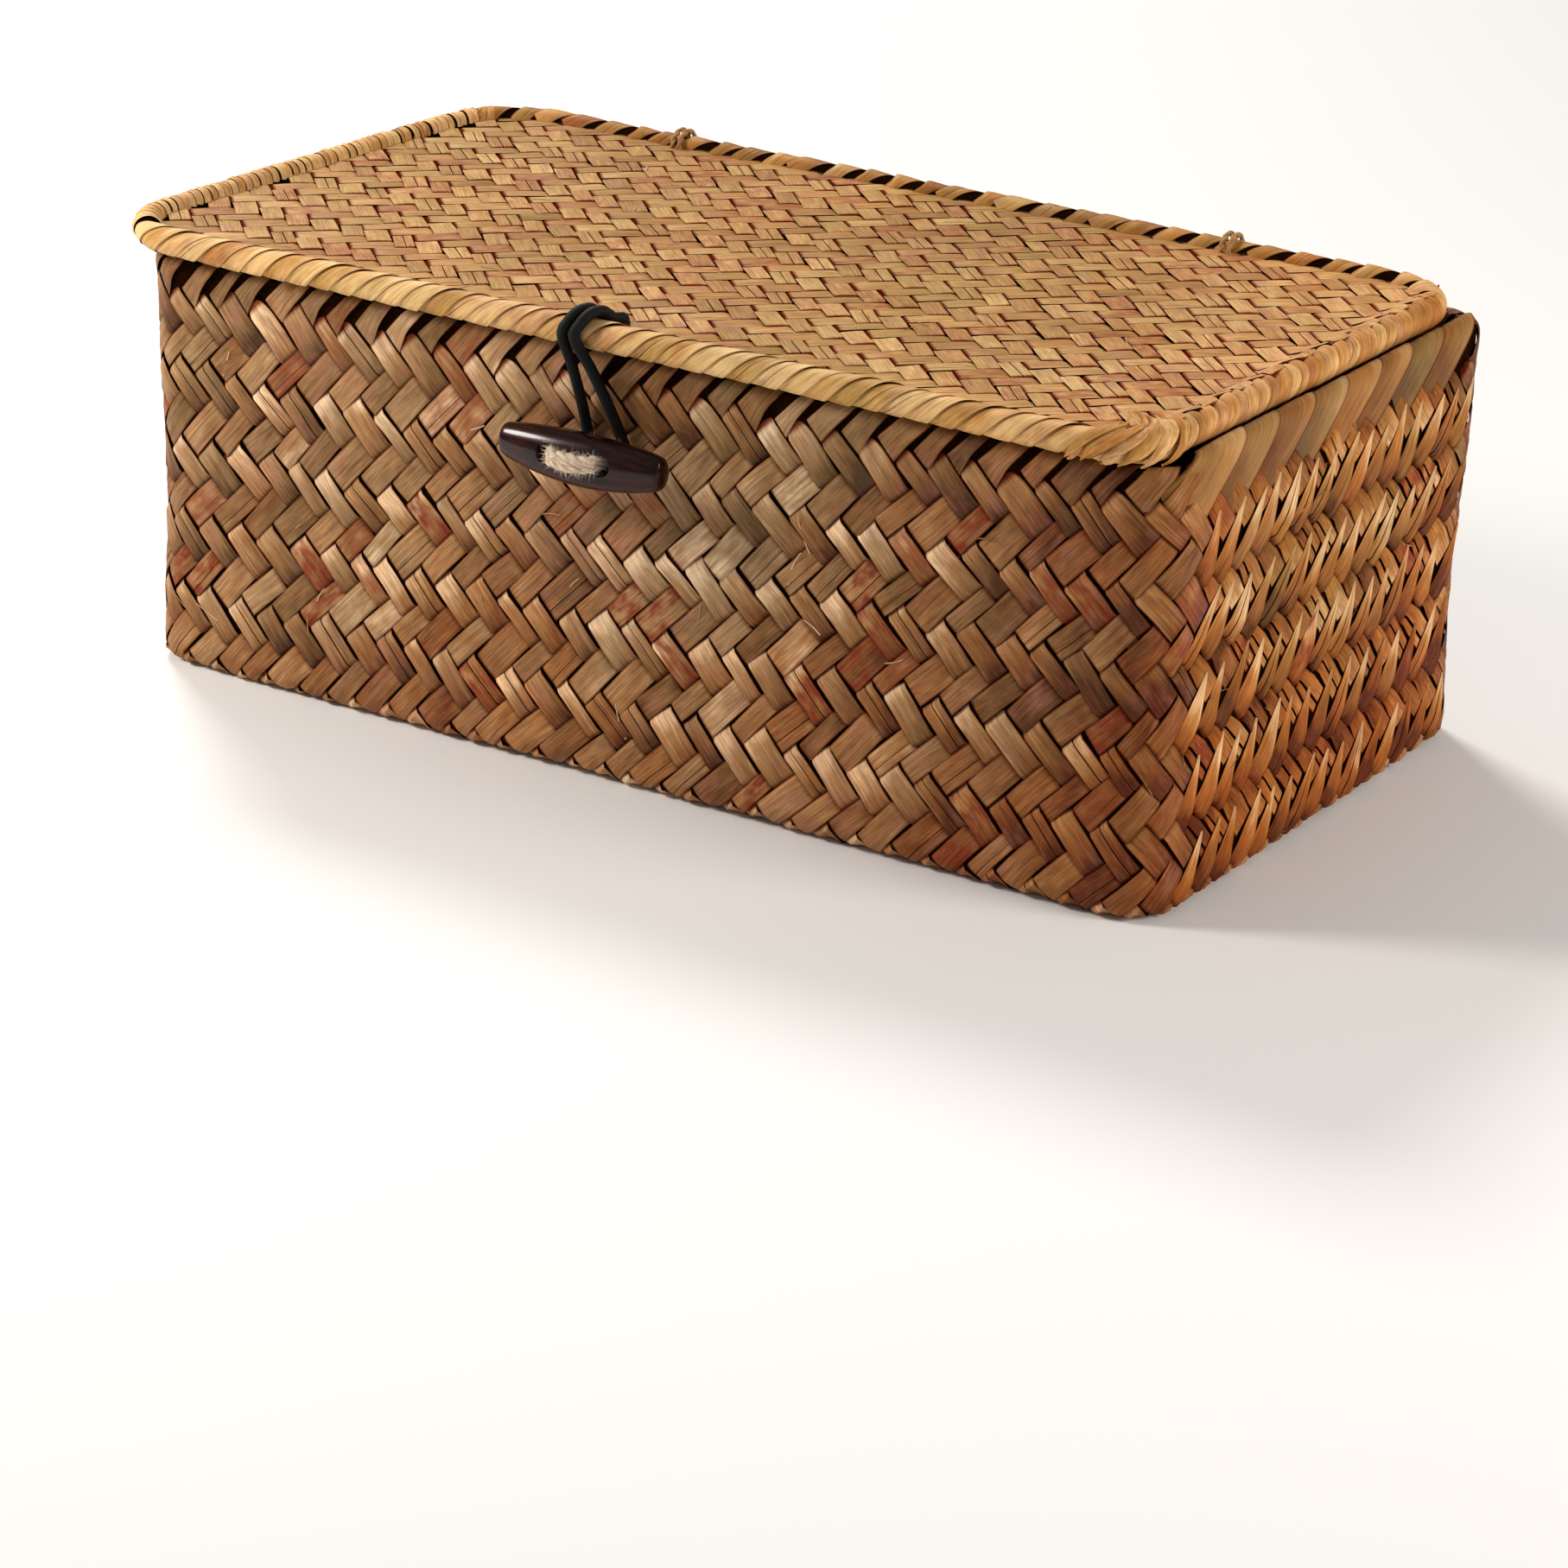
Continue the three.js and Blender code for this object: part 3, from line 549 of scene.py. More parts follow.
def plateTree():
    # strips laid flat, and drawn in where they would pass a rounded rectangle
    tree = GeometryTree("Plait on a plate")
    points, turn, size, *choices = plaitStrips(tree)
    halfX, halfY, corner = tree.inputs("Half Width", "Half Depth", "Corner")
    margin, rough = tree.inputs("Margin", "Rough End")

    def nearest(place, half):
        return tree.math("MINIMUM", tree.math("MAXIMUM", place, (half - corner) * -1.0), half - corner)

    def pastCore(x, y):
        # nearest place of the rectangle's core, the vector from there, and its length
        coreX, coreY = nearest(x, halfX), nearest(y, halfY)
        away = tree.combine(x - coreX, y - coreY, 0.0)
        return coreX, coreY, away, tree.get("ShaderNodeVectorMath", {0: away}, "Value", operation="LENGTH")

    x, y, _ = tree.places()
    points = tree.without(points, tree.math("GREATER_THAN", pastCore(x, y)[3], corner - margin))
    higher = tree.mapRange(x / halfX, 0.35, 1.0, 1.0, rough, True)
    size = tree.vector("MULTIPLY", size, tree.combine(1.0, 1.0, higher))
    strips = placeStrips(tree, points, turn, size, *choices)
    x, y, rise = tree.places()
    coreX, coreY, away, distance = pastCore(x, y)
    held = tree.scaled(away, tree.math("MINIMUM", 1.0, corner / tree.math("MAXIMUM", distance, 1e-6)))
    heldX, heldY, _ = tree.split(held)
    side, climb, centreX, centreY, level = tree.inputs("Side", "Climb", "Centre X", "Centre Y", "Level")
    rise = rise + tree.mapRange(x, halfX - 7 * mm, halfX - 1 * mm, 0.0, climb, True)
    flat = tree.combine(coreX + heldX + centreX, (coreY + heldY) * side + centreY, rise * side + level)
    tree.finish(wander(tree, tree.moved(strips, Position=flat)))
    return tree


# Straw: a tone for each strip, fibres along it, and painted shade where it dips under the next strips and
# along its edges

def colour(code):
    # linear colour of a hex code
    parts = [int(code[i:i + 2], 16) / 255 for i in (0, 2, 4)]
    return (*[p / 12.92 if p <= 0.04045 else ((p + 0.055) / 1.055) ** 2.4 for p in parts], 1)


def ramp(tree, fac, places, codes):
    node = tree.add("ShaderNodeValToRGB", {"Fac": fac})
    elements = node.color_ramp.elements
    while len(elements) < len(places):
        elements.new(1)
    for element, place, code in zip(elements, places, codes.split()):
        element.position, element.color = place, colour(code)
    return tree.read(node, "Color")


def mixed(tree, factor, first, second, blend="MIX"):
    return tree.get("ShaderNodeMix", {"Factor": factor, 6: first, 7: second}, "Result", data_type="RGBA",
                    blend_type=blend, clamp_factor=True)


def newMaterial(name):
    material = bpy.data.materials.new(name)
    material.use_nodes = True
    return material, Tree(material.node_tree), material.node_tree.nodes["Principled BSDF"].inputs


# rose and red are tints of the straw itself; depth is the colour of painted shade in dips and along edges,
# which the darker fibres share
tints = {"rose": "a8705c", "red": "843312", "depth": "7c3310"}
foot, right = 0.07, 0.141       # up to where the foot is toned otherwise with painted shade, and the right end, towards which the body gets painted shade


def strawMaterial(name, look):
    material, tree, shader = newMaterial(name)

    def stored(attribute):
        return tree.split(tree.get("ShaderNodeAttribute", output="Vector", attribute_name=attribute))

    tone, chance, falling = stored("strand")
    across, along, _ = stored("grain")
    fibrePlace = tree.combine(across * look["fibres"], along * look["fibreStretch"], chance * 61.0)
    fibres = tree.noise(fibrePlace, 1.0, 4.0, None, 0.65)
    place = tree.get("ShaderNodeTexCoord", output="Object")
    placeX, _, placeZ = tree.split(place)
    patchTone, patchWarm, patchRose = tree.split(tree.noise(place, look["patches"], 2.0, "Color"))
    blotch = tree.combine(across * 1.6, along * 0.9, chance * 23.0)
    blotchTone, blotchWarm, blotchRose = tree.split(tree.noise(blotch, 1.0, 2.0, "Color"))

    # painted shade: darker and warmer towards the foot, and towards the right end of the body, where less
    # light falls; the lid's right end gets lighter and warmer
    def atFoot(key):
        return tree.mapRange(placeZ, 0.0, foot, look[key], 0.0, True)

    def atRight(key):
        return tree.mapRange(placeX, look["rightFrom"], right, 0.0, look[key], True)

    value = tone * look["toneSpread"] + (1 - look["toneSpread"]) * 0.5 + look["lighter"]
    value = value + (patchTone - 0.5) * look["patchTone"] + (blotchTone - 0.5) * look["blotchTone"]
    # painted highlight: the upper end lighter and the lower end darker, and lighter towards the right edge,
    # where raised straw catches the light
    value = value + along * falling * look["tipLight"] + along * (1 - falling) * look["riseLight"]
    value = value + across * look["acrossLight"] + atFoot("lowTone") + atRight("rightTone")
    warmth = (chance - 0.5) * look["warmSpread"] + (patchWarm - 0.5) * look["warmPatch"] + look["warm"]
    warmth = warmth + (blotchWarm - 0.5) * look["warmBlotch"] + atFoot("warmLow") + atRight("warmRight")
    straw = mixed(tree, warmth, ramp(tree, value, *look["cool"]), ramp(tree, value, *look["warmTones"]))
    rose = tree.mapRange(blotchRose * 0.6 + patchRose * 0.4, 0.5, 0.66, 0.0, look["rose"])
    straw = mixed(tree, rose, straw, colour(tints["rose"]))
    red = tree.mapRange(chance, 0.86, 0.95, 0.0, look["red"]) * tree.mapRange(blotchWarm, 0.4, 0.56, 0.0, 1.0)
    straw = mixed(tree, red, straw, colour(tints["red"]))

    # painted shade: darker where a strip dips under the next and along its edges, mixed with the darker
    # fibres towards the shade colour
    upper = falling * (look["upperDip"] - look["riseDip"]) + look["riseDip"]
    end = tree.math("MAXIMUM", along * -1.0, along * upper)
    dip = tree.mapRange(end, look["dipStart"], look["dipEnd"], 0.0, look["dipShade"], True)
    edgeShadeMask = tree.mapRange(tree.math("ABSOLUTE", across), look["edgeStart"], 0.5, 0.0, look["edgeShade"], True)
    streak = tree.mapRange(fibres, 0.28, 0.55, look["fibreShade"], 0.0)
    depth = 1 - (1 - dip) * (1 - edgeShadeMask) * (1 - streak)
    straw = mixed(tree, 1.0, straw, mixed(tree, depth, (1, 1, 1, 1), colour(tints["depth"])), "MULTIPLY")
    # lighter fibres as grain, with a painted highlight on them, and a painted highlight along the left edge
    grainAndGlint = tree.mapRange(fibres, 0.56, 0.75, 1.0, look["fibreLight"])
    grainAndGlint = grainAndGlint * tree.mapRange(across, -0.48, -0.36, look["edgeLight"], 1.0)
    straw = mixed(tree, 1.0, straw, tree.combine(grainAndGlint, grainAndGlint, grainAndGlint), "MULTIPLY")
    tree.feed(shader["Base Color"], straw)
    rough, gloss = look["roughness"], shader["Specular IOR Level"]
    tree.feed(shader["Roughness"], tree.mapRange(fibres, 0.3, 0.75, rough + 0.12, rough - 0.06))
    tree.feed(gloss, look["gloss"])                 # for exports that leave the link out
    # less gloss where the painted shade lies
    tree.feed(gloss, (1 - depth) * look["gloss"])
    values = {"Strength": look["bump"], "Distance": 0.25 * mm, "Height": fibres + blotchTone * 0.5}
    tree.feed(shader["Normal"], tree.get("ShaderNodeBump", values))
    return material


fifths, warmFifths = (0.0, 0.25, 0.5, 0.75, 1.0), (0.0, 0.2, 0.5, 0.75, 1.0)      # places on a ramp
fourths, rollFourths = (0.0, 0.3, 0.6, 1.0), (0.0, 0.35, 0.65, 1.0)
strawLook = {
    "fibres": 12.0,             # fibres across a strip
    "fibreStretch": 0.6,        # how fast they change along it
    "patches": 19.0,            # size of the slow changes over the whole box, per metre
    "toneSpread": 0.8, "lighter": 0.05, "patchTone": 0.35, "blotchTone": 0.7,
    "tipLight": 0.32, "riseLight": 0.0,     # how much lighter the upper end is painted, and the lower end darker, leaning left and right: a painted highlight where the raised end catches the light
    "acrossLight": 0.0, "edgeLight": 1.25,  # painted light towards the raised right edge, and a painted highlight on the left edge itself
    "warm": 0.24, "warmSpread": 0.6, "warmPatch": 1.1, "warmBlotch": 1.0,
    # painted shade: the foot warmer and, with lowTone, darker, and the right end of the body darker and
    # warmer, where less light falls
    "warmLow": 0.45, "warmRight": 0.42, "rightTone": -0.29, "rightFrom": 0.03, "lowTone": 0.0,
    "rose": 0.4, "red": 0.9,
    # painted shade where a strip dips under the next and along its edges; fibreShade and fibreLight make
    # fibres darker and lighter, grain with a painted highlight on the lighter ones
    "dipStart": 0.86, "dipEnd": 1.1, "dipShade": 0.95, "upperDip": 1.0, "riseDip": 1.0,
    "edgeStart": 0.42, "edgeShade": 0.6, "fibreShade": 0.6, "fibreLight": 1.5,
    "roughness": 0.5, "gloss": 0.2, "bump": 0.8,
    "cool": (fifths, "4c3419 755730 93714a ac8b63 e2c49e"),
    "warmTones": (warmFifths, "632a0c 84461b a06531 b77f4a e6b686"),
}
unbroken = {"dipStart": 90.0, "dipEnd": 91.0, "tipLight": 0.0}      # strips that don't dip where they show, so with neither painted shade at their ends nor a painted tip highlight
# without the painted shade towards the right end
evenRight = {"warmRight": 0.0, "rightTone": 0.0}
lidLook = {
    **strawLook, "toneSpread": 0.55, "blotchTone": 0.6, "tipLight": 0.0, "edgeLight": 1.05,
    "warm": 0.25, "warmPatch": 1.2, "warmBlotch": 1.1, "warmLow": 0.0, "warmRight": 0.5, "rightTone": 0.3,
    "rose": 0.5, "red": 0.5, "dipStart": 0.73, "dipEnd": 0.92, "dipShade": 1.0, "upperDip": 0.74,
    "riseDip": 0.74, "edgeStart": 0.475, "edgeShade": 0.7, "fibreShade": 0.45, "fibreLight": 1.4,
    "gloss": 0.12, "cool": (fourths, "7a5828 9a743a b08a4c d6b274"),
    "warmTones": (fourths, "7a3f18 a46330 bd7e46 dea86c"),
}
rollLook = {
    **lidLook, **unbroken, "toneSpread": 0.7, "blotchTone": 0.7, "bump": 0.6, "edgeStart": 0.42,
    "edgeShade": 0.6, "fibreShade": 0.5, "fibreLight": 1.25, "red": 0.4, "acrossLight": 0.2, "lighter": -0.05,
    "cool": (rollFourths, "80602c a57c40 bd9450 e4c084"),
    "warmTones": (rollFourths, "7c4216 af6c2e c88844 eab878"),
}
straw = {name: strawMaterial(name, look) for name, look in {
    "body_straw": strawLook,
    "side_straw": {
        **strawLook, **evenRight, "riseLight": 0.4, "tipLight": -0.2, "warm": 0.6, "warmLow": 0.5,
        "dipShade": 0.85, "riseDip": 0.0, "edgeShade": 0.68, "rose": 0.15, "lighter": -0.04, "lowTone": -0.22,
        "gloss": 0.1,
        "cool": (fourths, "58390f 876029 9d7538 dcb884"),
        "warmTones": (warmFifths, "622806 914a14 ab6223 c98545 efc08c"),
    },
    "inside_straw": {**strawLook, **evenRight, "dipShade": 0.8},
    "lid_straw": lidLook,
    "leaf_straw": {**strawLook, **unbroken, "warm": 0.22},
    "fold_straw": {
        **strawLook, **unbroken, **evenRight, "fibres": 34.0, "fibreShade": 0.35, "edgeStart": 0.43,
        "edgeShade": 0.9, "edgeLight": 1.0, "bump": 0.35, "lighter": -0.05, "warm": 0.35, "red": 0.0,
        "rose": 0.1, "acrossLight": 0.3, "riseLight": 0.22, "gloss": 0.12,
        "cool": (fourths, "57421f 7c6034 9b7a48 cdae7e"),
        "warmTones": (fourths, "6a3910 8f5722 a97036 d6a468"),
    },
    "roll_straw": rollLook,
    # painted light: a lighter copy of the roll's straw for the left roll, whose inner side the lamps leave in
    # shade
    "roll_left_straw": {
        **rollLook, "lighter": 0.4, "edgeShade": 0.45, "warm": 0.7, "fibreShade": 0.35, "rightTone": 0.0,
    },
    "lid_under_straw": {**lidLook, "lighter": -0.12, "warm": 0.4, "rightTone": 0.0},
    # painted light: a lighter copy of the roll's straw for the front roll, which lies in shade
    "roll_front_straw": {**rollLook, "lighter": 0.38, "edgeShade": 0.42, "rightTone": 0.0},
    "loose_fibre": {**strawLook, **unbroken, "lighter": 0.4, "edgeShade": 0.0, "red": 0.0},
}.items()}


def plainMaterial(name, codes, places, fine, coarse, rough, roughSpan, bump, bumpDepth, stretch, sockets):
    # one colour that changes with fine and coarse noise
    material, tree, shader = newMaterial(name)
    values = {"Vector": tree.get("ShaderNodeTexCoord", output="Object"), "Scale": (stretch, 1, 1)}
    place = tree.get("ShaderNodeMapping", values)
    fine, coarse = tree.noise(place, fine, 4.0, None, 0.6), tree.noise(place, coarse, 2.0)
    tree.feed(shader["Base Color"], ramp(tree, fine * 0.6 + coarse * 0.4, places, codes))
    tree.feed(shader["Roughness"], tree.mapRange(fine, 0.3, 0.7, rough - roughSpan, rough + roughSpan))
    for socket, value in sockets.items():
        shader[socket].default_value = value
    values = {"Strength": bump, "Distance": bumpDepth * mm, "Height": fine}
    tree.feed(shader["Normal"], tree.get("ShaderNodeBump", values))
    return material


quarters = (0.25, 0.5, 0.75)
plainLooks = {
    # colours and their places on the ramp, fine and coarse noise per metre, roughness and its spread,
    # strength of the bump and its depth in mm, stretch along X, and further inputs of the shader
    "shadowed_straw": ("100602 1b0b03 2a1205", (0.3, 0.55, 0.75), 900.0, 120.0, 0.9, 0.05, 0.3, 0.3, 1,
                       {"Specular IOR Level": 0.0}),
    "twine_fibre": ("754f22 a5733a c69756", quarters, 2600.0, 300.0, 0.9, 0.05, 0.5, 0.15, 1,
                    {"Sheen Weight": 0.3}),
    "stitch_twine": ("b3987a e4d0b6 fff4e4", quarters, 2600.0, 300.0, 0.9, 0.05, 0.5, 0.15, 1,
                     {"Sheen Weight": 0.3}),
    "elastic_cover": ("030404 090a0a 181c1e", (0.3, 0.55, 0.8), 2400.0, 500.0, 0.68, 0.1, 0.6, 0.12, 1,
                      {"Specular IOR Level": 0.2}),
    "toggle_wood": ("060101 150402 340b05 5c190b", (0.25, 0.45, 0.6, 0.8), 900.0, 260.0, 0.24, 0.05, 0.12,
                    0.1, 0.12, {"Specular IOR Level": 0.1, "Coat Weight": 0.32, "Coat Roughness": 0.12}),
    "cane": ("9a7344 bd9560 d8b884", (0.3, 0.5, 0.75), 700.0, 60.0, 0.6, 0.08, 0.2, 0.15, 1, {}),
}
shadowStraw, twineFibre, stitchTwine, elasticCover, toggleWood, caneMaterial = (
    plainMaterial(name, *look) for name, look in plainLooks.items())
print("finishes ready")


# Swept solids and small helpers

def dressed(piece, body, slot, *nodes):
    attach(piece, body)
    if nodes:
        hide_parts(*nodes)


def sweptSolid(name, outline, section, capped=False):
    # a section of (outward, up) points carried round an outline; it is closed, or its ends are capped
    vertices, faces = [], []
    count, rows = len(outline), len(section)
    for i, point in enumerate(outline):
        along = Vector(outline[(i + 1) % count]) - Vector(outline[i - 1])
        out = Vector((along.y, -along.x, 0)).normalized()
        vertices += [tuple(Vector(point) + out * x + Vector((0, 0, z))) for x, z in section]
    for i in range(count):
        a, b = i * rows, (i + 1) % count * rows
        for j in range(rows - 1 if capped else rows):
            k = (j + 1) % rows
            faces.append((a + j, b + j, b + k, a + k))
    if capped:
        faces.append([i * rows for i in reversed(range(count))])
        faces.append([i * rows + rows - 1 for i in range(count)])
    mesh = newMesh(name, vertices, faces)
    # painted shade: every swept solid is of dark shadowed straw, a sheet that stands in for the shade seen
    # through gaps
    mesh.materials.append(shadowStraw)
    return linked(name, mesh)


# Body

fold = {
    "thickness": 4.5 * mm,
    "top": 104 * mm,
    "sidePitch": 16.6 * mm,     # broad leaves that cover the rim of the short sides
    "sideLean": radians(42),
    "sideLow": 87 * mm,
    "sideShare": 1.32,          # leaf width as a share of its pitch
    "shadeSkin": 0.35 * mm,          # thickness of the dark sheet under the leaves, painted shade in their gaps, and how deep it lies
    "shadeSkinDepth": 1.1 * mm,
}
body = {
    "cornerRadius": 14 * mm,
    "footRadius": 3 * mm,
    "foldProud": 0.5 * mm,      # the plait lies this far inside the folded rim
    "waist": 1.2 * mm,          # and this much more at mid height
    "shoulder": 89 * mm,
    "wall": 3 * mm,
    "base": 3.2 * mm,
    "plaitDepth": 0.8 * mm,     # from the crest of the strips to their middle
    "shadeSheetHalf": 0.5 * mm,        # half thickness of the dark sheet between the outer and the inner plait, painted shade seen through the gaps
    "columns": 97,
    "rowPitch": 9.3 * mm,
    "topRow": 90.5 * mm,        # middle of the uppermost row that leans to the left
    "stripShare": 0.95,         # strip width as a share of its pitch
    "clear": 0.45 * mm,         # the plait of the base stays this much further off the ground
    "underReach": 20 * mm,      # how far the walls' plait runs on under the base
    "underLap": 8.5 * mm,       # how far the plait of the base runs on over that
    "floorPitch": 9 * mm,
    "floorShare": 0.97,
}
rimLow, rimHigh = rigid["rim_fold"]
bodyPath = roundedOutline(rimLow, rimHigh, [body["cornerRadius"]] * 4)
bodyOutline = guideCurve("body_outline", bodyPath, True)
bodyWidth, bodyDepth = rimHigh[0] - rimLow[0], rimHigh[1] - rimLow[1]
outlineLength = 2 * (bodyWidth + bodyDepth) - (8 - 2 * pi) * body["cornerRadius"]


def wallInset(z):
    lift = sin(pi * min(max(z / body["shoulder"], 0), 1))
    return body["foldProud"] + body["waist"] * lift * lift


def wallPoints(heights, depth):
    # places this deep in the wall, at heights in mm
    return [(-wallInset(z * mm) - depth, z * mm) for z in heights]


def outerProfile():
    # middle surface of the outer plait: from under the base, round the foot, up the wall and over the rim
    depth, foot, top, thick = body["plaitDepth"], body["footRadius"], fold["top"], fold["thickness"]
    start, low = -wallInset(0) - foot, depth + body["clear"]
    corners = [(start - body["underReach"], low), (start - 6 * mm, low)]
    for turn in range(0, 91, 15):
        angle = radians(turn)
        corners.append((start + (foot - depth) * sin(angle), foot - (foot - low) * cos(angle)))
    corners += wallPoints((8, 16, 25, 35, 45, 55, 65, 75, 84, 90), depth)
    corners += [(-1.1 * mm, 96 * mm), (-0.9 * mm, top - 3 * mm), (-1.25 * mm, top - 1.4 * mm)]
    corners += [(-thick / 2, top - 0.8 * mm), (-thick + 1.25 * mm, top - 1.4 * mm)]
    corners += [(-thick + 0.75 * mm, top - 3 * mm), (-thick + 0.75 * mm, 80 * mm)]
    return profilePoints(corners, 0.6 * mm)


def innerProfile():
    # middle surface of the inner plait: down the wall and on over the floor
    depth, foot, inside = body["plaitDepth"], body["footRadius"], body["wall"] - body["plaitDepth"]
    corners = wallPoints((96, 88, 80, 70, 60, 50, 40, 30, 20, 12), inside)
    for turn in range(0, 91, 15):
        angle = radians(turn)
        corners.append((-wallInset(0) - inside - foot * (1 - cos(angle)),
                        body["base"] - depth + foot * (1 - sin(angle))))
    corners.append((-wallInset(0) - inside - foot - body["underReach"], body["base"] - depth))
    return profilePoints(corners)


def lengthTo(points, height):
    # distance along a profile at which it reaches a height
    total = 0
    for a, b in zip(points, points[1:]):
        step = dist(a, b)
        if min(a[2], b[2]) <= height < max(a[2], b[2]):
            return total + step * (height - a[2]) / (b[2] - a[2])
        total += step
    return total


plaitWall, plaitPlate = wallTree(), plateTree()
floats = stripCollection("floats", floatMeshes())
flames = stripCollection("flames", flameMeshes())
cornerArc = pi / 2 * body["cornerRadius"]
longRun, shortRun = bodyWidth - 2 * body["cornerRadius"], bodyDepth - 2 * body["cornerRadius"]
bandEvery = outlineLength / 2
rowsBelowTop = 11.25            # from where a plait starts to the middle of its uppermost row
bands = {"long": (-cornerArc, longRun + 2 * cornerArc), "sides": (longRun + cornerArc, shortRun)}


def makePlait(name, tree, pitch, share, seed, material, values):
    strip = pitch[0] * pitch[1] / hypot(*pitch)
    return buildPiece(name, tree, {
        "Pitch U": pitch[0], "Pitch V": pitch[1], "Strip Width": strip * share, "Strip Length": strip,
        "Lean": atan2(pitch[1], pitch[0]), "Strips": floats, "Paired": 1.0, "Left Share": 0.96,
        "Keep": 1.0, "First Row": 0, "Relief": 1.0, "Seed": seed, "Material": straw[material], **values,
    })


def makeWallPlait(name, points, firstRow, rows, strips, seed, material, changes):
    # all runs with one seed and profile belong to the same plait; the last word of the name tells the band
    pitch, band = body["rowPitch"], bands["sides" if name.endswith("sides") else "long"]
    pitches = (outlineLength / body["columns"], pitch)
    return makePlait(name, plaitWall, pitches, body["stripShare"], seed, material, {
        "Strips": strips, "Columns": body["columns"], "Rows": rows, "First Row": firstRow, "Start U": 0.0,
        "Start V": lengthTo(points, body["topRow"]) - rowsBelowTop * pitch, "Uneven Widths": 0.17,
        "Stray": 0.22 * mm, "Twist": radians(4), "Wander": 1.2 * mm, "Outline": bodyOutline,
        "Profile": guideCurve(name + "_profile", points), "Band Start": band[0], "Band Length": band[1],
        "Band Every": bandEvery, **changes,
    })


def makePlatePlait(name, centre, half, corner, level, side, pitch, share, seed, material, changes):
    columns, rows = (ceil(2 * half[k] / pitch[k]) + 2 for k in (0, 1))
    return makePlait(name, plaitPlate, pitch, share, seed, material, {
        "Columns": columns, "Rows": rows, "Start U": -columns * pitch[0] / 2,
        "Start V": -rows * pitch[1] / 2, "Uneven Widths": 0.1, "Stray": 0.2 * mm, "Twist": radians(3),
        "Wander": 0.7 * mm, "Half Width": half[0], "Half Depth": half[1], "Corner": corner, "Margin": 0.0,
        "Side": side, "Rough End": 1.0, "Climb": 0.0, "Centre X": centre[0], "Centre Y": centre[1],
        "Level": level, **changes,
    })


def makeBody():
    outer, inner = outerProfile(), innerProfile()
    tips, leaves = stripCollection("tips", tipMeshes()), stripCollection("leaves", leafMeshes())
    slivers = stripCollection("slivers", sliverMeshes())
    single = {"Paired": 0.0, "Left Share": 1.0}
    few, many = ({"Keep": keep, "Paired": 0.0, "Stray": 3 * mm, "Twist": radians(35)}
                 for keep in (0.05, 0.16))
    start = {"Start V": lengthTo(inner, 6 * mm) - rowsBelowTop * body["rowPitch"]}
    for *run, slot, nodes in (
        ("body_plait_long", outer, 0, 11, floats, 11, "body_straw", {}, "straw_body", ["woven_body"]),
        ("body_plait_sides", outer, 2, 10, flames, 11, "side_straw", {"Left Share": 0.94}, "straw_body", []),
        ("body_foot_sides", outer, 0, 2, floats, 11, "body_straw", {}, "straw_body", []),
        ("body_plait_tips", outer, 11, 1, tips, 11, "body_straw", single, "straw_body", []),
        ("rim_leaves_long", outer, 12, 1, leaves, 11, "leaf_straw", single, "straw_fold", ["rim_fold"]),
        ("body_fibres_long", outer, 3, 9, slivers, 15, "loose_fibre", few, "straw_body", []),
        ("body_fibres_sides", outer, 3, 9, slivers, 16, "loose_fibre", many, "straw_body", []),
        ("body_plait_inside_long", inner, 0, 12, floats, 12, "inside_straw", start, "straw_body", []),
        ("body_plait_inside_sides", inner, 0, 12, floats, 12, "inside_straw", start, "straw_body", []),
    ):
        dressed(makeWallPlait(*run), "basket", slot, *nodes)

    depth, pitch = body["plaitDepth"], (body["floorPitch"],) * 2
    reach = wallInset(0) + body["footRadius"] + body["underReach"] - body["underLap"]
    inset, corner = wallInset(0) + body["wall"], body["cornerRadius"] - body["wall"]
    for name, inwards, *place, seed, material in (
        ("base_plait", reach, 4 * mm, depth + body["clear"], -1.0, 13, "body_straw"),
        ("floor_plait", inset, corner, body["base"] - depth, 1.0, 14, "inside_straw"),
    ):
        half = [side / 2 - inwards for side in (bodyWidth, bodyDepth)]
        piece = makePlatePlait(name, (0, 0), half, *place, pitch, body["floorShare"], seed, material, {})
        dressed(piece, "basket", "straw_body")

    # the body's dark sheet between the outer and the inner plait: painted shade that shows through the gaps
    foot, middle, half, level = -wallInset(0), body["wall"] / 2, body["shadeSheetHalf"], body["base"] / 2
    up = wallPoints((8, 20, 35, 50, 65, 80, 90), middle)
    section = [(-30 * mm, level - half), (foot - 4 * mm, level - half)]
    section += [(foot - 2.2 * mm, 2.4 * mm), (foot - middle + half, 5 * mm)]
    section += [(x + half, z) for x, z in up] + [(x - half, z) for x, z in reversed(up)]
    section += [(foot - middle - half, 5 * mm), (foot - 2.5 * mm, 2.9 * mm)]
    section += [(foot - 5 * mm, level + half), (-30 * mm, level + half)]
    dressed(sweptSolid("body_backing", bodyPath, section, True), "basket", "straw_body")


makeBody()
print("body ready")


# Folded rim: over the long sides the strands of the plait itself, over the short sides broad leaves

def broadLeafMeshes(reach):
    # y runs from the lower end outside, -0.5, over the rim to the lower end inside
    def lie(y):
        # the lower end lies under the plait
        return 0.45 - 1.5 * max(0.0, (-0.24 - y) / 0.26) ** 1.4

    shapes = [(lie, None, *shape) for shape in ((0.2, 0.45, -0.6), (0.1, 0.5, -0.45), (0.26, 0.4, -0.75))]
    return stripMeshes("broad", evenStations(-0.5, 0.5, 44), shapes, columns=17,
                       aspect=reach / (fold["sidePitch"] * sin(fold["sideLean"])))


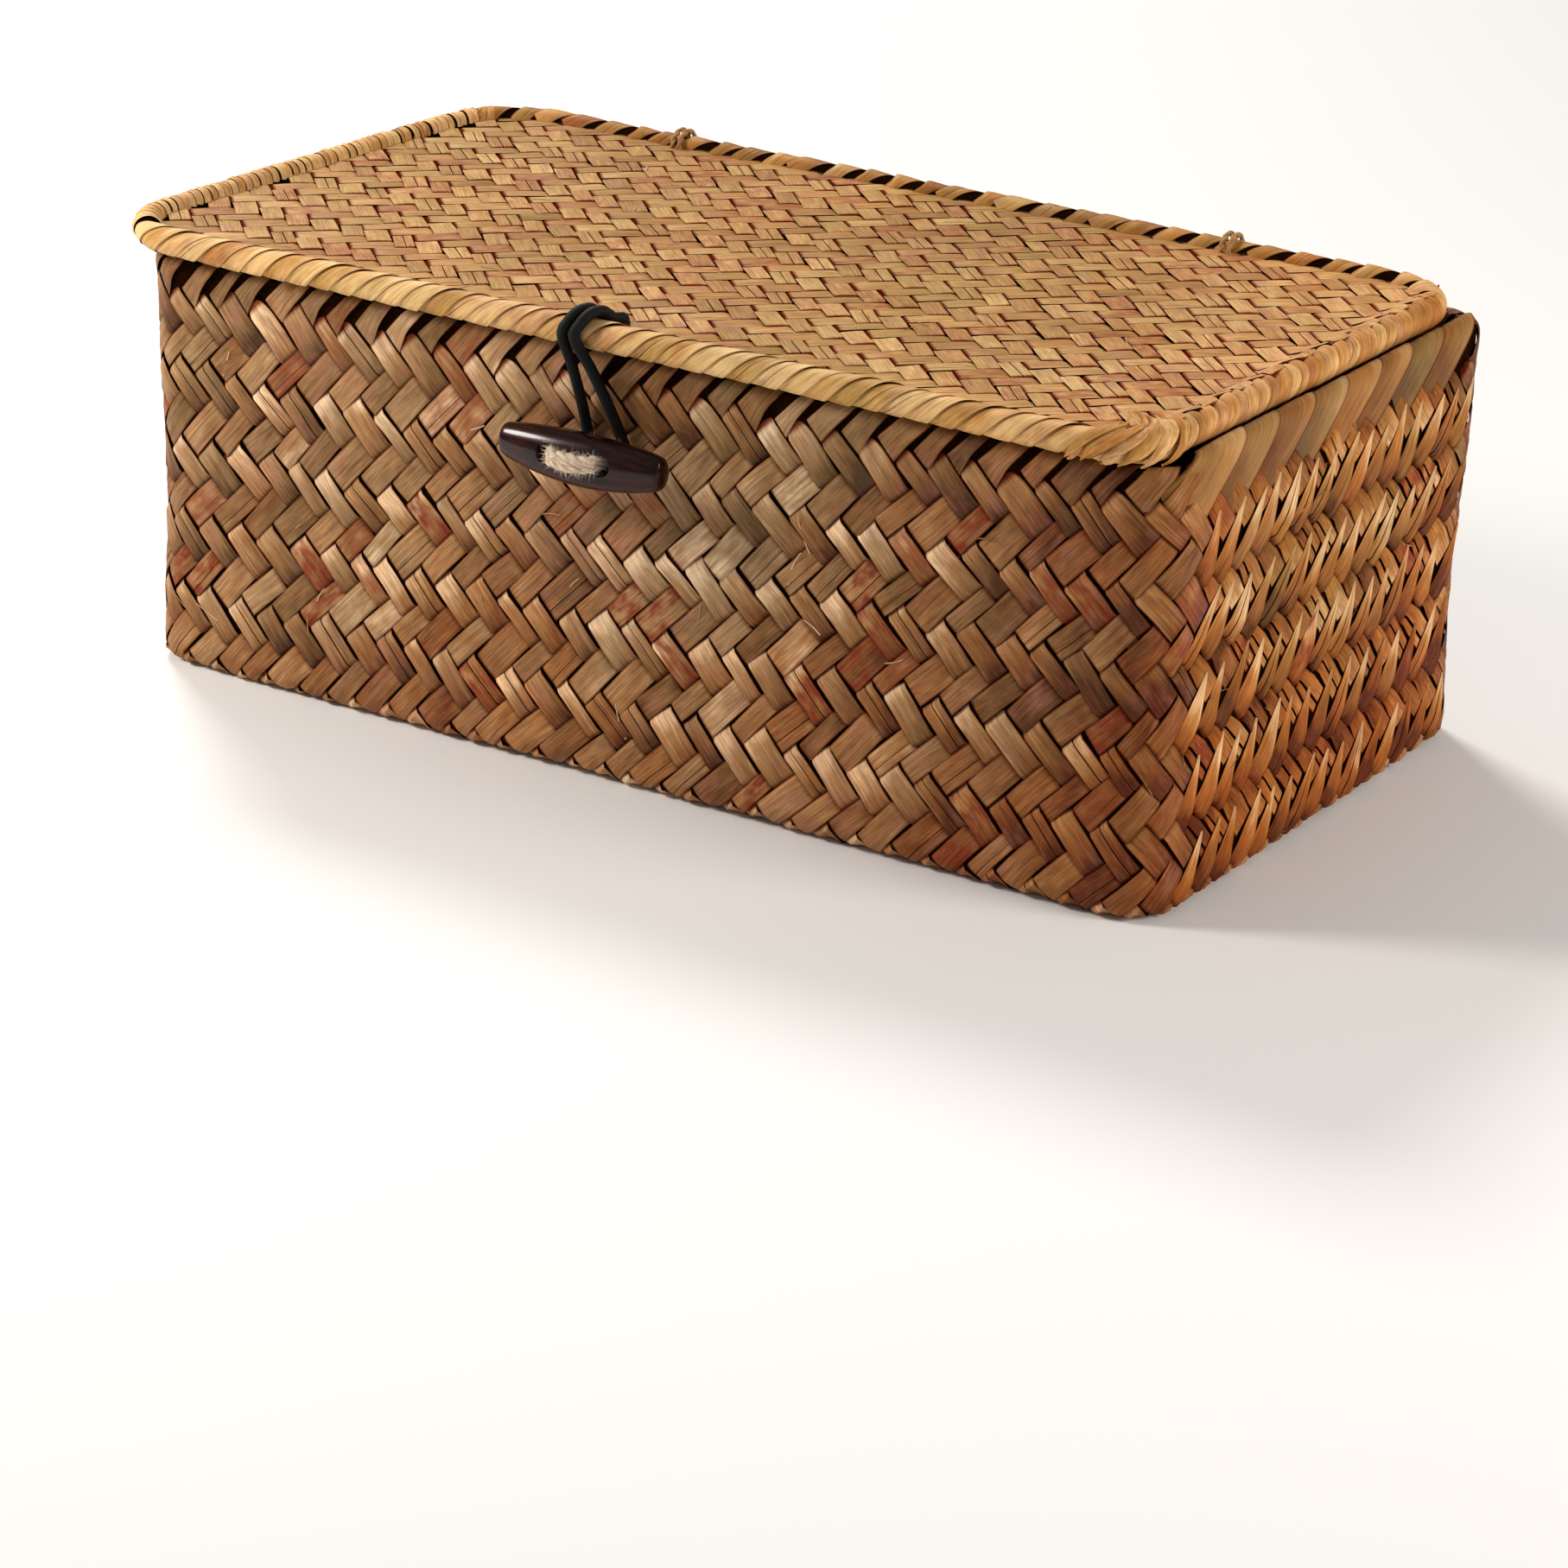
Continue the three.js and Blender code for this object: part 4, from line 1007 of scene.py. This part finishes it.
def broadProfile():
    # the broad leaves bulge over the rim as far as the roll of the lid
    thick, top = fold["thickness"], fold["top"]
    corners = wallPoints((fold["sideLow"] / mm, 91), body["plaitDepth"])
    corners += [(-1.1 * mm, 96 * mm), (-0.9 * mm, top - 2 * mm), (-1.1 * mm, top + 0.4 * mm)]
    corners += [(-1.7 * mm, top + 1.7 * mm), (-2.8 * mm, top + 2 * mm), (-thick + 0.6 * mm, top + 0.9 * mm)]
    corners += [(-thick + 0.4 * mm, top - 1.6 * mm), (-thick + 0.75 * mm, top - 4 * mm)]
    return profilePoints(corners + [(-thick + 0.75 * mm, fold["sideLow"])], 0.6 * mm)


def makeStripRun(name, outline, points, start, run, pitch, lean, share, strips, seed, material, **changes):
    # one row of long strips side by side along part of an outline
    count = max(1, round(run / pitch))
    step, length = run / count, lengthOf(points)
    return makePlait(name, plaitWall, (step, pitch), 1.0, seed, material, {
        "Columns": count, "Rows": 1, "Start U": start - 0.25 * step, "Start V": length / 2 - 0.25 * pitch,
        "Strip Width": step * sin(lean) * share, "Strip Length": length / sin(lean), "Lean": lean,
        "Uneven Widths": 0.0, "Stray": 0.3 * mm, "Twist": radians(3), "Wander": 0.5 * mm,
        "Outline": outline, "Profile": guideCurve(name + "_profile", points), "Strips": strips,
        "Band Start": 0.0, "Band Length": 9.0, "Band Every": 9.0, "Paired": 0.0, "Left Share": 1.0, **changes,
    })


def makeRim():
    points = broadProfile()
    (start, run), pitch, lean = bands["sides"], fold["sidePitch"], fold["sideLean"]
    broad = stripCollection("broad_leaves", broadLeafMeshes(lengthOf(points) / sin(lean)))
    for i, name in enumerate(("right", "left")):
        piece = makeStripRun("rim_leaves_" + name, bodyOutline, points, start + i * bandEvery, run, pitch,
                             lean, fold["sideShare"], broad, 32 + i, "fold_straw")
        dressed(piece, "basket", "straw_fold")
    # the dark sheet round the rim under the leaves: painted shade in the gaps between them
    outer, shadeSkin, foot = fold["shadeSkinDepth"], fold["shadeSkin"], body["shoulder"]
    inner, top = fold["thickness"] - outer, fold["top"] - outer
    section = [(-outer, foot), (-outer, top), (-inner, top), (-inner, foot), (-inner + shadeSkin, foot),
               (-inner + shadeSkin, top - shadeSkin), (-outer - shadeSkin, top - shadeSkin), (-outer - shadeSkin, foot)]
    dressed(sweptSolid("rim_backing", bodyPath, section), "basket", "straw_fold")


makeRim()
print("rim ready")


# Lid: a finer plait, and strands wound round its hoop as a roll

lid = {
    "rollRadius": 3.75 * mm,
    "cornerRadii": [11 * mm, 20 * mm, 20 * mm, 20 * mm],      # the front right corner is the sharpest
    "plaitCorner": 14 * mm,
    "climb": 2.5 * mm,          # how far the plait climbs on the roll at the right
    "rollHeight": 108.05 * mm,
    "wrapRadius": 3.3 * mm,     # middle of the wound strands
    "wrapTurn": 172,            # degrees that they reach to each side of the outermost place
    # radii of a dark core inside the roll, painted shade between the wound strands
    "core": (2.75 * mm, 2.0 * mm),
    "panelTop": 109.25 * mm,
    "panelBottom": 106.85 * mm,
    "pitch": (8.0 * mm, 7.75 * mm),
    "plaitDepth": 0.55 * mm,
    "relief": 0.46,
}
wraps = {
    # pitch, lean in degrees, width share, tilt, crown, twist in degrees, drawn in on the inner side, straw
    "front": (6.5 * mm, 43, 1.2, 0.5, 0.14, 3, 0.0, "roll_front_straw"),
    "right": (4.8 * mm, 56, 1.12, 0.8, 0.25, 11, 0.45, "roll_straw"),
    "back": (8.8 * mm, 44, 1.08, 0.5, 0.14, 4, 0.42, "roll_straw"),
    "left": (2.6 * mm, 76, 1.16, 0.25, 0.4, 3, 0.1, "roll_left_straw"),
}
fray = {
    "above": 0.5 * mm,
    "around": (-60, 158),       # degrees about the roll, from low outside to the inner side
    "lean": 50,
    "pitch": 1.9 * mm,
    "share": 1.4,
    "before": 10 * mm,          # where it starts before the middle of the corner
    "run": 21 * mm,
    "twist": 16,
    "stray": 0.9 * mm,
}
rollLow, rollHigh = rigid["lid_rim"]
rollHalf = [(rollHigh[k] - rollLow[k]) / 2 - lid["rollRadius"] for k in (0, 1)]
rollCentre = [(rollHigh[k] + rollLow[k]) / 2 for k in (0, 1)]
rollCorners = [[rollCentre[k] + sign * rollHalf[k] for k in (0, 1)] for sign in (-1, 1)]
rollPath = roundedOutline(*rollCorners, lid["cornerRadii"])
rollOutline = guideCurve("roll_outline", rollPath, True)


def wrapMeshes(name, aspect, tilt, crown, inner, columns):
    def drawnIn(share):
        # where they pass over to the inner side of the roll
        return lambda y: (-0.5, 0.5 - share * min(max((y - 0.2) / 0.14, 0), 1))

    shapes = ((0.0, 1.0, 0.0, 1.0, whole), (-0.05, 1.4, 0.0, 1.4, whole), (0.06, 1.0, 0.3, 0.5, whole),
              (0.0, 0.8, -0.2, 0.8, cleft(-0.06, -0.03)))
    rows = [(lambda y, z=z: z, drawnIn(inner * share), crown * bow, tilt * bow, sway, parts)
            for z, bow, sway, share, parts in shapes]
    stations = evenStations(-0.5, 0.5, 34)
    return stripMeshes(name, stations, rows, thickness=0.45, aspect=aspect, columns=columns)


def frayMeshes(aspect):
    # narrow strips with pointed, lifted ends, for the rough corner of the roll
    def pointed(y):
        half = 0.5 * min(1.0, max(0.06, (0.5 - abs(y)) / 0.22)) ** 0.8
        return -half, half

    def lifted(foot, lift):
        return lambda y: foot + lift * max(0.0, (y - 0.26) / 0.24) ** 2

    shapes = [(lifted(*ends), pointed, 0.3, 0.3, sway)
              for *ends, sway in ((0.5, 3.2, 0.3), (0.2, 2.2, -0.2), (0.7, 4.4, 0.6))]
    return stripMeshes("fray", evenStations(-0.5, 0.5, 22), shapes, thickness=0.4, aspect=aspect, columns=4)


def makeRoll():
    radii, radius, height = lid["cornerRadii"], lid["wrapRadius"], lid["rollHeight"]
    arcs = [pi / 2 * r for r in radii]
    runs = [2 * rollHalf[i % 2] - radii[i - 1] - radii[i] + (arcs[i - 1] + arcs[i]) / 2 for i in range(4)]
    starts = [sum(runs[:i], -arcs[3] / 2) for i in range(4)]
    section = arcPoints(radius, height, -lid["wrapTurn"], lid["wrapTurn"])
    for i, (name, (pitch, lean, share, tilt, crown, twist, inner, material)) in enumerate(wraps.items()):
        reach = radians(2 * lid["wrapTurn"]) * radius / sin(radians(lean))
        shapes = wrapMeshes("wrap_" + name, reach / pitch, tilt, crown, inner, 3 if pitch < 3 * mm else 5)
        piece = makeStripRun(
            "lid_roll_" + name, rollOutline, section, starts[i], runs[i], pitch, radians(lean), share,
            stripCollection("wraps_" + name, shapes), 41 + i, material, Twist=radians(twist),
            Stray=0.05 * pitch)
        dressed(piece, "lid", "straw_roll", *(["lid_rim"] if i == 0 else []))
    lean, section = radians(fray["lean"]), arcPoints(radius + fray["above"], height, *fray["around"])
    reach = radians(fray["around"][1] - fray["around"][0]) * radius / sin(lean)
    piece = makeStripRun(
        "lid_roll_corner", rollOutline, section, starts[1] - fray["before"], fray["run"], fray["pitch"], lean,
        fray["share"], stripCollection("frays", frayMeshes(reach / fray["pitch"])), 46, "roll_front_straw",
        Twist=radians(fray["twist"]), Stray=fray["stray"])
    dressed(piece, "lid", "straw_roll")
    # a dark core of shadowed straw inside the wound strands: painted shade that shows between them
    angles = [radians(a) for a in range(-150, 151, 20)]
    core = [(r * cos(a), height + r * sin(a))
            for r, turns in zip(lid["core"], (angles, angles[::-1])) for a in turns]
    dressed(sweptSolid("lid_roll_core", rollPath, core), "lid", "straw_roll")


def makeLid():
    depth, top, bottom = lid["plaitDepth"], lid["panelTop"], lid["panelBottom"]
    low = {"Relief": lid["relief"], "Margin": 2 * mm, "Uneven Widths": 0.13}
    high = {"Rough End": 2.0, "Climb": lid["climb"]}
    loose = {"Strips": stripCollection("lid_slivers", sliverMeshes()), "Paired": 0.0, "Keep": 0.06,
             "Stray": 3 * mm, "Twist": radians(40), "Relief": 0.7, "Margin": 8 * mm}
    for name, *place, seed, material, changes, nodes in (
        ("lid_plait_top", top - depth, 1.0, 21, "lid_straw", high, ["lid_panel"]),
        ("lid_fibres", top - depth, 1.0, 23, "loose_fibre", loose, []),
        ("lid_plait_under", bottom + depth, -1.0, 22, "lid_under_straw", {}, []),
    ):
        piece = makePlatePlait(name, rollCentre, rollHalf, lid["plaitCorner"], *place, lid["pitch"], 1.0,
                               seed, material, {**low, **changes})
        dressed(piece, "lid", "straw_lid", *nodes)
    # a dark sheet in the middle of the panel: painted shade in the gaps of the plait
    low, high = (top + bottom) / 2 - 0.25 * mm, (top + bottom) / 2 + 0.25 * mm
    section = [(-40 * mm, low), (-1.8 * mm, low), (-1.8 * mm, high), (-40 * mm, high)]
    dressed(sweptSolid("lid_backing", rollPath, section, True), "lid", "straw_lid")
    makeRoll()


makeLid()
print("lid ready")


# Cords: twisted twine, and the covered elastic

def strandTree():
    # plies twisted round a path, with loose fibres that stand off them
    tree = GeometryTree("Twisted strand")
    path, (plies, seed) = tree.guide("Path"), tree.inputs("Plies", "Seed", kind="Int")
    plyRadius, offset, twist, step = tree.inputs("Ply Radius", "Ply Offset", "Twist", "Step")
    fuzz, fuzzLength = tree.inputs("Fuzz", "Fuzz Length")
    even = tree.get("GeometryNodeResampleCurve", {"Curve": path, "Length": step}, mode="LENGTH")
    copies = tree.add("GeometryNodeDuplicateElements", {"Geometry": even, "Amount": plies}, domain="SPLINE")
    curves, ply = tree.read(copies, "Geometry"), tree.read(copies, "Duplicate Index")
    distance = tree.get("GeometryNodeSplineParameter", output="Length")
    angle = distance * twist * (2 * pi) + ply * (2 * pi) / tree.math("MAXIMUM", plies, 1.0)
    normal, tangent = tree.get("GeometryNodeInputNormal"), tree.get("GeometryNodeInputTangent")
    across = tree.vector("CROSS_PRODUCT", tangent, normal)
    shift = tree.vector("ADD", tree.scaled(normal, tree.math("COSINE", angle) * offset),
                        tree.scaled(across, tree.math("SINE", angle) * offset))
    size = {"Resolution": 8, "Radius": plyRadius}
    section = tree.get("GeometryNodeCurvePrimitiveCircle", size, mode="RADIUS")
    tube = tree.get("GeometryNodeCurveToMesh", {"Curve": tree.moved(curves, Offset=shift),
                                                "Profile Curve": section, "Fill Caps": True})
    spread = tree.add("GeometryNodeDistributePointsOnFaces", {"Mesh": tube, "Density": fuzz, "Seed": seed},
                      distribute_method="RANDOM")
    facing = tree.get("FunctionNodeAlignRotationToVector", {"Vector": tree.read(spread, "Normal")}, axis="Z")
    index = tree.get("GeometryNodeInputIndex")
    lean = tree.combine(*[tree.random(-1.1, 1.1, index, seed + k) for k in (1, 2, 3)])
    turn = {"Rotation": facing, "Rotate By": lean}
    turned = tree.get("FunctionNodeRotateRotation", turn, rotation_space="LOCAL")
    hair = tree.get("GeometryNodeMeshCone", {
        "Vertices": 3, "Side Segments": 1, "Fill Segments": 1, "Radius Top": 0.004, "Radius Bottom": 0.035,
        "Depth": 1.0}, "Mesh", fill_type="NGON")
    hairs = tree.get("GeometryNodeInstanceOnPoints", {
        "Points": tree.read(spread, "Points"), "Instance": hair, "Rotation": turned,
        "Scale": tree.random(0.4, 1.0, index, seed + 4) * fuzzLength})
    joined = tree.add("GeometryNodeJoinGeometry")
    for part in (hairs, tube):
        tree.group.links.new(part.socket, joined.inputs[0])
    tree.finish(tree.read(joined))
    return tree


strandOnPath = strandTree()
twine = {
    # radius of a ply, its distance from the middle, step along it and length of the loose fibres, all in mm;
    # plies, turns of twist and loose fibres per square metre
    "stitch": (0.62, 0.5, 0.35, 2.1, 2, 170.0, 3.0e6),
    "shank": (0.62, 0.5, 0.35, 0.8, 2, 170.0, 0.5e6),
    "tie": (0.42, 0.34, 0.4, 0.8, 2, 210.0, 0.5e6),
    "elastic": (1.33, 0.0, 0.5, 0.0, 1, 0.0, 0.0),
}


def makeStrand(name, points, kind, seed, material, cyclic=False, scale=1.0):
    radius, offset, step, fuzzLength, plies, twist, fuzz = twine[kind]
    return buildPiece(name, strandOnPath, {
        "Ply Radius": radius * mm * scale, "Ply Offset": offset * mm * scale, "Step": step * mm,
        "Fuzz Length": fuzzLength * mm, "Plies": plies, "Twist": twist, "Fuzz": fuzz, "Seed": seed,
        "Material": material, "Path": guideCurve(name + "_path", points, cyclic),
    })


def knotPoints(centre, size, count=120):
    # a pulled overhand knot, drawn as a trefoil that fits these sizes
    points = []
    for i in range(count):
        t = 2 * pi * i / count
        shares = ((sin(t) + 2 * sin(2 * t)) / 2.75, (cos(t) - 2 * cos(2 * t)) / 2.75,
                  -sin(3 * t))
        points.append(tuple(centre[k] + size[k] / 2 * shares[k] for k in range(3)))
    return points


# Toggle

toggle = {
    "girth": [(0, 1.0), (0.2, 0.985), (0.45, 0.92), (0.7, 0.81), (0.88, 0.69), (0.955, 0.61), (0.985, 0.5),
              (1.0, 0.36)],
    "halfHeight": 6.3 * mm,
    "sag": 0.9 * mm,
    "drop": 0.6 * mm,           # its middle lies this far below the swivel
    "holeSpacing": 15 * mm,
    "holeRadius": 2.3 * mm,
    "holeFlare": 0.5 * mm,
    "swivelHeight": 82.6 * mm,
    "stitchRadius": 1.1 * mm,
    "stitchRises": (1.05 * mm, -1.05 * mm, 0.1 * mm),       # of the strands that lie side by side
    "stitchScales": (0.95, 0.89, 0.83),
    "stitchInwards": 1.7 * mm,      # it lies at the near side of each hole
    "shankSpacing": 2.15 * mm,
    "shankKnot": (6.6 * mm, 4.4 * mm, 3.4 * mm),
    "gap": 0.3 * mm,
}
toggleLow, toggleHigh = rigid["toggle"]
toggleHalf = [(toggleHigh[k] - toggleLow[k]) / 2 for k in range(3)]
toggleX, toggleY, swivel = toggleLow[0] + toggleHalf[0], toggleLow[1] + toggleHalf[1], toggle["swivelHeight"]


def latheMesh(name, rows, sides, place):
    # rows of (y, radius along X, radius along Z, lift), each an ellipse, both ends closed
    vertices, faces = [], []
    for y, radiusX, radiusZ, lift in rows:
        for i in range(sides):
            angle = 2 * pi * i / sides
            vertices.append((radiusX * cos(angle), y, lift + radiusZ * sin(angle)))
    for j in range(len(rows) - 1):
        for i in range(sides):
            k = (i + 1) % sides
            faces.append((j * sides + i, j * sides + k, (j + 1) * sides + k, (j + 1) * sides + i))
    faces.append(list(range(sides)))
    faces.append([len(vertices) - 1 - i for i in range(sides)])
    mesh = newMesh(name, vertices, faces)
    work = bmesh.new()
    work.from_mesh(mesh)
    bmesh.ops.recalc_face_normals(work, faces=work.faces)
    work.to_mesh(mesh)
    work.free()
    mesh.transform(place)
    return linked(name, mesh)


def makeToggle():
    shares = smoothLine([(a, g, 0) for a, g in toggle["girth"]], 0.03)
    shares = [(-a, g) for a, g, _ in reversed(shares)] + [(a, g) for a, g, _ in shares[1:]]
    half, high, sag = toggleHalf, toggle["halfHeight"], toggle["sag"]
    rows = [(a * half[0], g * half[1], g * high, sag * (a * a - 0.5)) for a, g in shares]
    middle = Matrix.Translation((toggleX, toggleY, swivel - toggle["drop"]))
    piece = latheMesh("toggle_body", rows, 56, middle @ Matrix.Rotation(-pi / 2, 4, "Z"))
    radius, flare, mouth = toggle["holeRadius"], toggle["holeFlare"], half[1] * 0.98
    ends = ((half[1] + 1 * mm, 4), (mouth, 1), (mouth - flare, 0.3), (mouth - 2 * flare, 0))
    ends = [(-y, share) for y, share in ends] + list(reversed(ends))
    rows = [(y, radius + share * flare, radius + share * flare, 0) for y, share in ends]
    for side in (-1, 1):
        place = Matrix.Translation((toggleX + side * toggle["holeSpacing"] / 2, toggleY, swivel))
        drill = latheMesh("drill", rows, 32, place)
        cut = piece.modifiers.new("Hole", "BOOLEAN")
        cut.object, cut.operation, cut.solver = drill, "DIFFERENCE", "EXACT"
        guides.append(drill)
    mesh = bpy.data.meshes.new_from_object(piece.evaluated_get(bpy.context.evaluated_depsgraph_get()))
    piece.modifiers.clear()
    piece.data = mesh
    mesh.shade_smooth()
    mesh.set_sharp_from_angle(angle=radians(40))
    mesh.materials.clear()
    mesh.materials.append(toggleWood)
    dressed(piece, "toggle", "dark_wood", "toggle")


def makeStitch():
    radius, gap, half = toggle["stitchRadius"], toggle["gap"], toggleHalf[1]
    holeX = toggle["holeSpacing"] / 2 - toggle["stitchInwards"]
    front, back = toggleY - half - gap - radius, toggleY + half + gap + radius
    side = [(radius + gap, back), (holeX - 2 * radius, back), (holeX - radius / 4, back - radius),
            (holeX, toggleY), (holeX - radius / 4, front + radius), (holeX - 2 * radius, front)]
    for k, (rise, scale) in enumerate(zip(toggle["stitchRises"], toggle["stitchScales"])):
        points = [(toggleX - x, y, swivel + rise) for x, y in side]
        points += [(toggleX, front - radius / 2, swivel + rise * 1.3)]
        points += [(toggleX + x, y, swivel + rise) for x, y in reversed(side)]
        line = smoothLine(points)
        piece = makeStrand(f"toggle_twine_{k + 1}", line, "stitch", 51 + 10 * k, stitchTwine, scale=scale)
        dressed(piece, "toggle", "twine", *(["toggle_stitch"] if k == 0 else []))


def makeShank():
    low, high = rigid["toggle_shank"]
    knotY = high[1] - 2.5 * mm
    for k in range(3):
        x = toggleX + (k - 1) * toggle["shankSpacing"]
        points = [(x, low[1] + 0.8 * mm, swivel), (x, low[1] + 2 * mm, swivel + 0.2 * mm),
                  (x, knotY - 3 * mm, swivel), (toggleX + (k - 1) * 1.2 * mm, knotY, swivel)]
        line = smoothLine(points)
        piece = makeStrand(f"shank_twine_{k + 1}", line, "shank", 55 + k, stitchTwine, scale=1.05)
        dressed(piece, "basket", "twine", *(["toggle_shank"] if k == 0 else []))
    knot = knotPoints((toggleX, knotY, swivel), toggle["shankKnot"])
    dressed(makeStrand("shank_knot", knot, "shank", 59, stitchTwine, True, 0.95), "basket", "twine")


makeToggle()
makeStitch()
makeShank()
print("toggle ready")


# Elastic loop: out of the lid, over the roll, down, round the shank and back

elastic = {
    "radius": 1.35 * mm,
    "spacing": 1.65 * mm,       # half the distance between its two strands where they lie side by side
    "exit": (-4.5 * mm, -73.55 * mm),
    "rimX": -9 * mm,
    "rollY": -80.95 * mm,
    "laneY": -80.58 * mm,
    "shankHalf": (3.4 * mm, 1.6 * mm),
    "falls": [(0.28, 0.42), (0.62, 0.8), (0.85, 0.97)],     # share of the way down, and back to the wall
    "knotSize": (6.0 * mm, 2.6 * mm, 2.2 * mm),
}


def elasticSide(sign):
    e, gap, height = elastic, toggle["gap"], lid["rollHeight"]
    over = lid["rollRadius"] + gap + e["radius"]
    exitX, rimX = (x + sign * e["spacing"] for x in (e["exit"][0], e["rimX"]))
    points = [(exitX, e["exit"][1], lid["panelBottom"]), (exitX, e["exit"][1], height + 2.4 * mm)]
    steps = 5
    for i in range(1, steps + 1):
        angle = pi * i / steps
        x = exitX + (rimX - exitX) * i / steps
        points.append((x, e["rollY"] + over * cos(angle), height + over * sin(angle)))
    legX = toggleX + sign * (e["shankHalf"][0] + gap + e["radius"])
    for fall, back in e["falls"]:
        y = e["rollY"] - over + (e["laneY"] - e["rollY"] + over) * back
        points.append((rimX + (legX - rimX) * fall, y, height + (swivel - height) * fall))
    return points + [(legX, e["laneY"], swivel)]


def makeElastic():
    e = elastic
    reach, drop = (half + toggle["gap"] + e["radius"] for half in e["shankHalf"])
    turn = [(toggleX + reach * sin(a), e["laneY"], swivel - drop * cos(a))
            for a in (-pi / 4, 0, pi / 4)]
    points = elasticSide(-1) + turn + list(reversed(elasticSide(1)))
    loop = makeStrand("elastic_cord", smoothLine(points), "elastic", 61, elasticCover)
    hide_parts("elastic_loop")
    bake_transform(loop)
    low, high = rigid["loop_knot"]
    knot = knotPoints([(low[k] + high[k]) / 2 for k in range(3)], e["knotSize"])
    piece = makeStrand("elastic_knot", knot, "elastic", 62, elasticCover, True, 0.85)
    dressed(piece, "lid", "elastic", "loop_knot")


makeElastic()
print("elastic ready")


# Hinge ties: twine wound through the back wall and round the roll, knotted outside

tie = {
    "radius": 0.9 * mm,
    "pitch": 2.0 * mm,
    "turns": 2,
    "spacing": 160 * mm,
    "proud": 1.2 * mm,          # how far it stands off the middle of the roll's strands
    "innerY": 68.65 * mm,
    "outerY": 80.7 * mm,
    "holeHeight": 85 * mm,
    "knotHeight": 96 * mm,
    "knotSize": (5.4 * mm, 2.9 * mm, 3.4 * mm),
}


def tiePoints(x):
    radius, outerY, hole, wallOut = tie["radius"], tie["outerY"], tie["holeHeight"], bodyDepth / 2
    wallIn, height, over = wallOut - fold["thickness"], lid["rollHeight"], lid["wrapRadius"] + tie["proud"]
    rounds = [(outerY, tie["knotHeight"]), (outerY, fold["top"] - 1.5 * mm)]
    for turn in range(20, 181, 32):
        angle = radians(turn)
        rounds.append((rollCorners[1][1] + over * cos(angle), height + over * sin(angle)))
    rounds += [(tie["innerY"] + radius / 2, (height + body["shoulder"]) / 2),
               (wallIn - radius * 3.2, body["shoulder"] - 0.3 * mm), (wallIn, hole), (wallOut - radius, hole),
               (outerY, hole + 2 * radius)]
    count = len(rounds) * tie["turns"]
    return [(x + tie["pitch"] * tie["turns"] * (i / count - 0.5), *rounds[i % len(rounds)])
            for i in range(count + 1)]


for side, name in ((-1, "left"), (1, "right")):
    x = rollCentre[0] + side * tie["spacing"] / 2
    wound = makeStrand("tie_twine_" + name, smoothLine(tiePoints(x)), "tie", 71 + side, twineFibre)
    dressed(wound, "basket", "twine", "hinge_tie_" + name)
    knot = knotPoints((x, bodyDepth / 2 + 2.4 * mm, tie["knotHeight"]), tie["knotSize"])
    dressed(makeStrand("tie_knot_" + name, knot, "tie", 75 + side, twineFibre, True), "basket", "twine")
print("ties ready")

for node in ("rim_splint", "lid_hoop"):
    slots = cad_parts[node].data.materials
    slots.clear()
    slots.append(caneMaterial)


# Camera, light and floor

view = {
    "place": (0.55966, -0.88869, 0.39573),
    "turn": (68.16, -1.812, 33.051),
    "lens": 104.825,
}
lights = {
    # place, aim, size, power and colour
    "top": ((-1.2, 0.9, 1.45), (0.0, 0.0, 0.1), 0.6, 28.5, (1.0, 0.97, 0.92)),
    "left": ((-0.5, -0.38, 0.42), (-0.08, -0.08, 0.05), 0.2, 3.9, (1.0, 0.95, 0.88)),
    "right": ((1.0, 0.12, 0.45), (0.14, 0.0, 0.05), 0.5, 6.4, (1.0, 0.93, 0.84)),
}
camera = linked("camera", bpy.data.cameras.new("camera"))
camera.data.lens, camera.data.sensor_width = view["lens"], 36
camera.location = view["place"]
camera.rotation_euler = Euler([radians(a) for a in view["turn"]], "XYZ")
scene.camera = camera
for name, (place, aim, size, power, tint) in lights.items():
    lamp = bpy.data.lights.new(name, "AREA")
    lamp.shape, lamp.size, lamp.energy, lamp.color = "DISK", size, power, tint
    light = linked(name, lamp)
    light.location = place
    light.rotation_euler = (Vector(aim) - Vector(place)).to_track_quat("-Z", "Y").to_euler()
world = bpy.data.worlds.new("studio")
world.use_nodes = True
background = world.node_tree.nodes["Background"].inputs
background["Color"].default_value = (1, 1, 1, 1)
background["Strength"].default_value = 0.3
scene.world = world
scene.view_settings.view_transform = "Standard"

floor = linked("floor", newMesh("floor", [(-6, -6, 0), (6, -6, 0), (6, 6, 0), (-6, 6, 0)], [(0, 1, 2, 3)]))
floorMaterial, _, floorShader = newMaterial("pale_floor")
floorShader["Base Color"].default_value = (0.86, 0.86, 0.86, 1)
floorShader["Roughness"].default_value = 0.85
floor.data.materials.append(floorMaterial)
print("stage ready")


# Remove the guides

for guide in guides:
    bpy.data.objects.remove(guide)
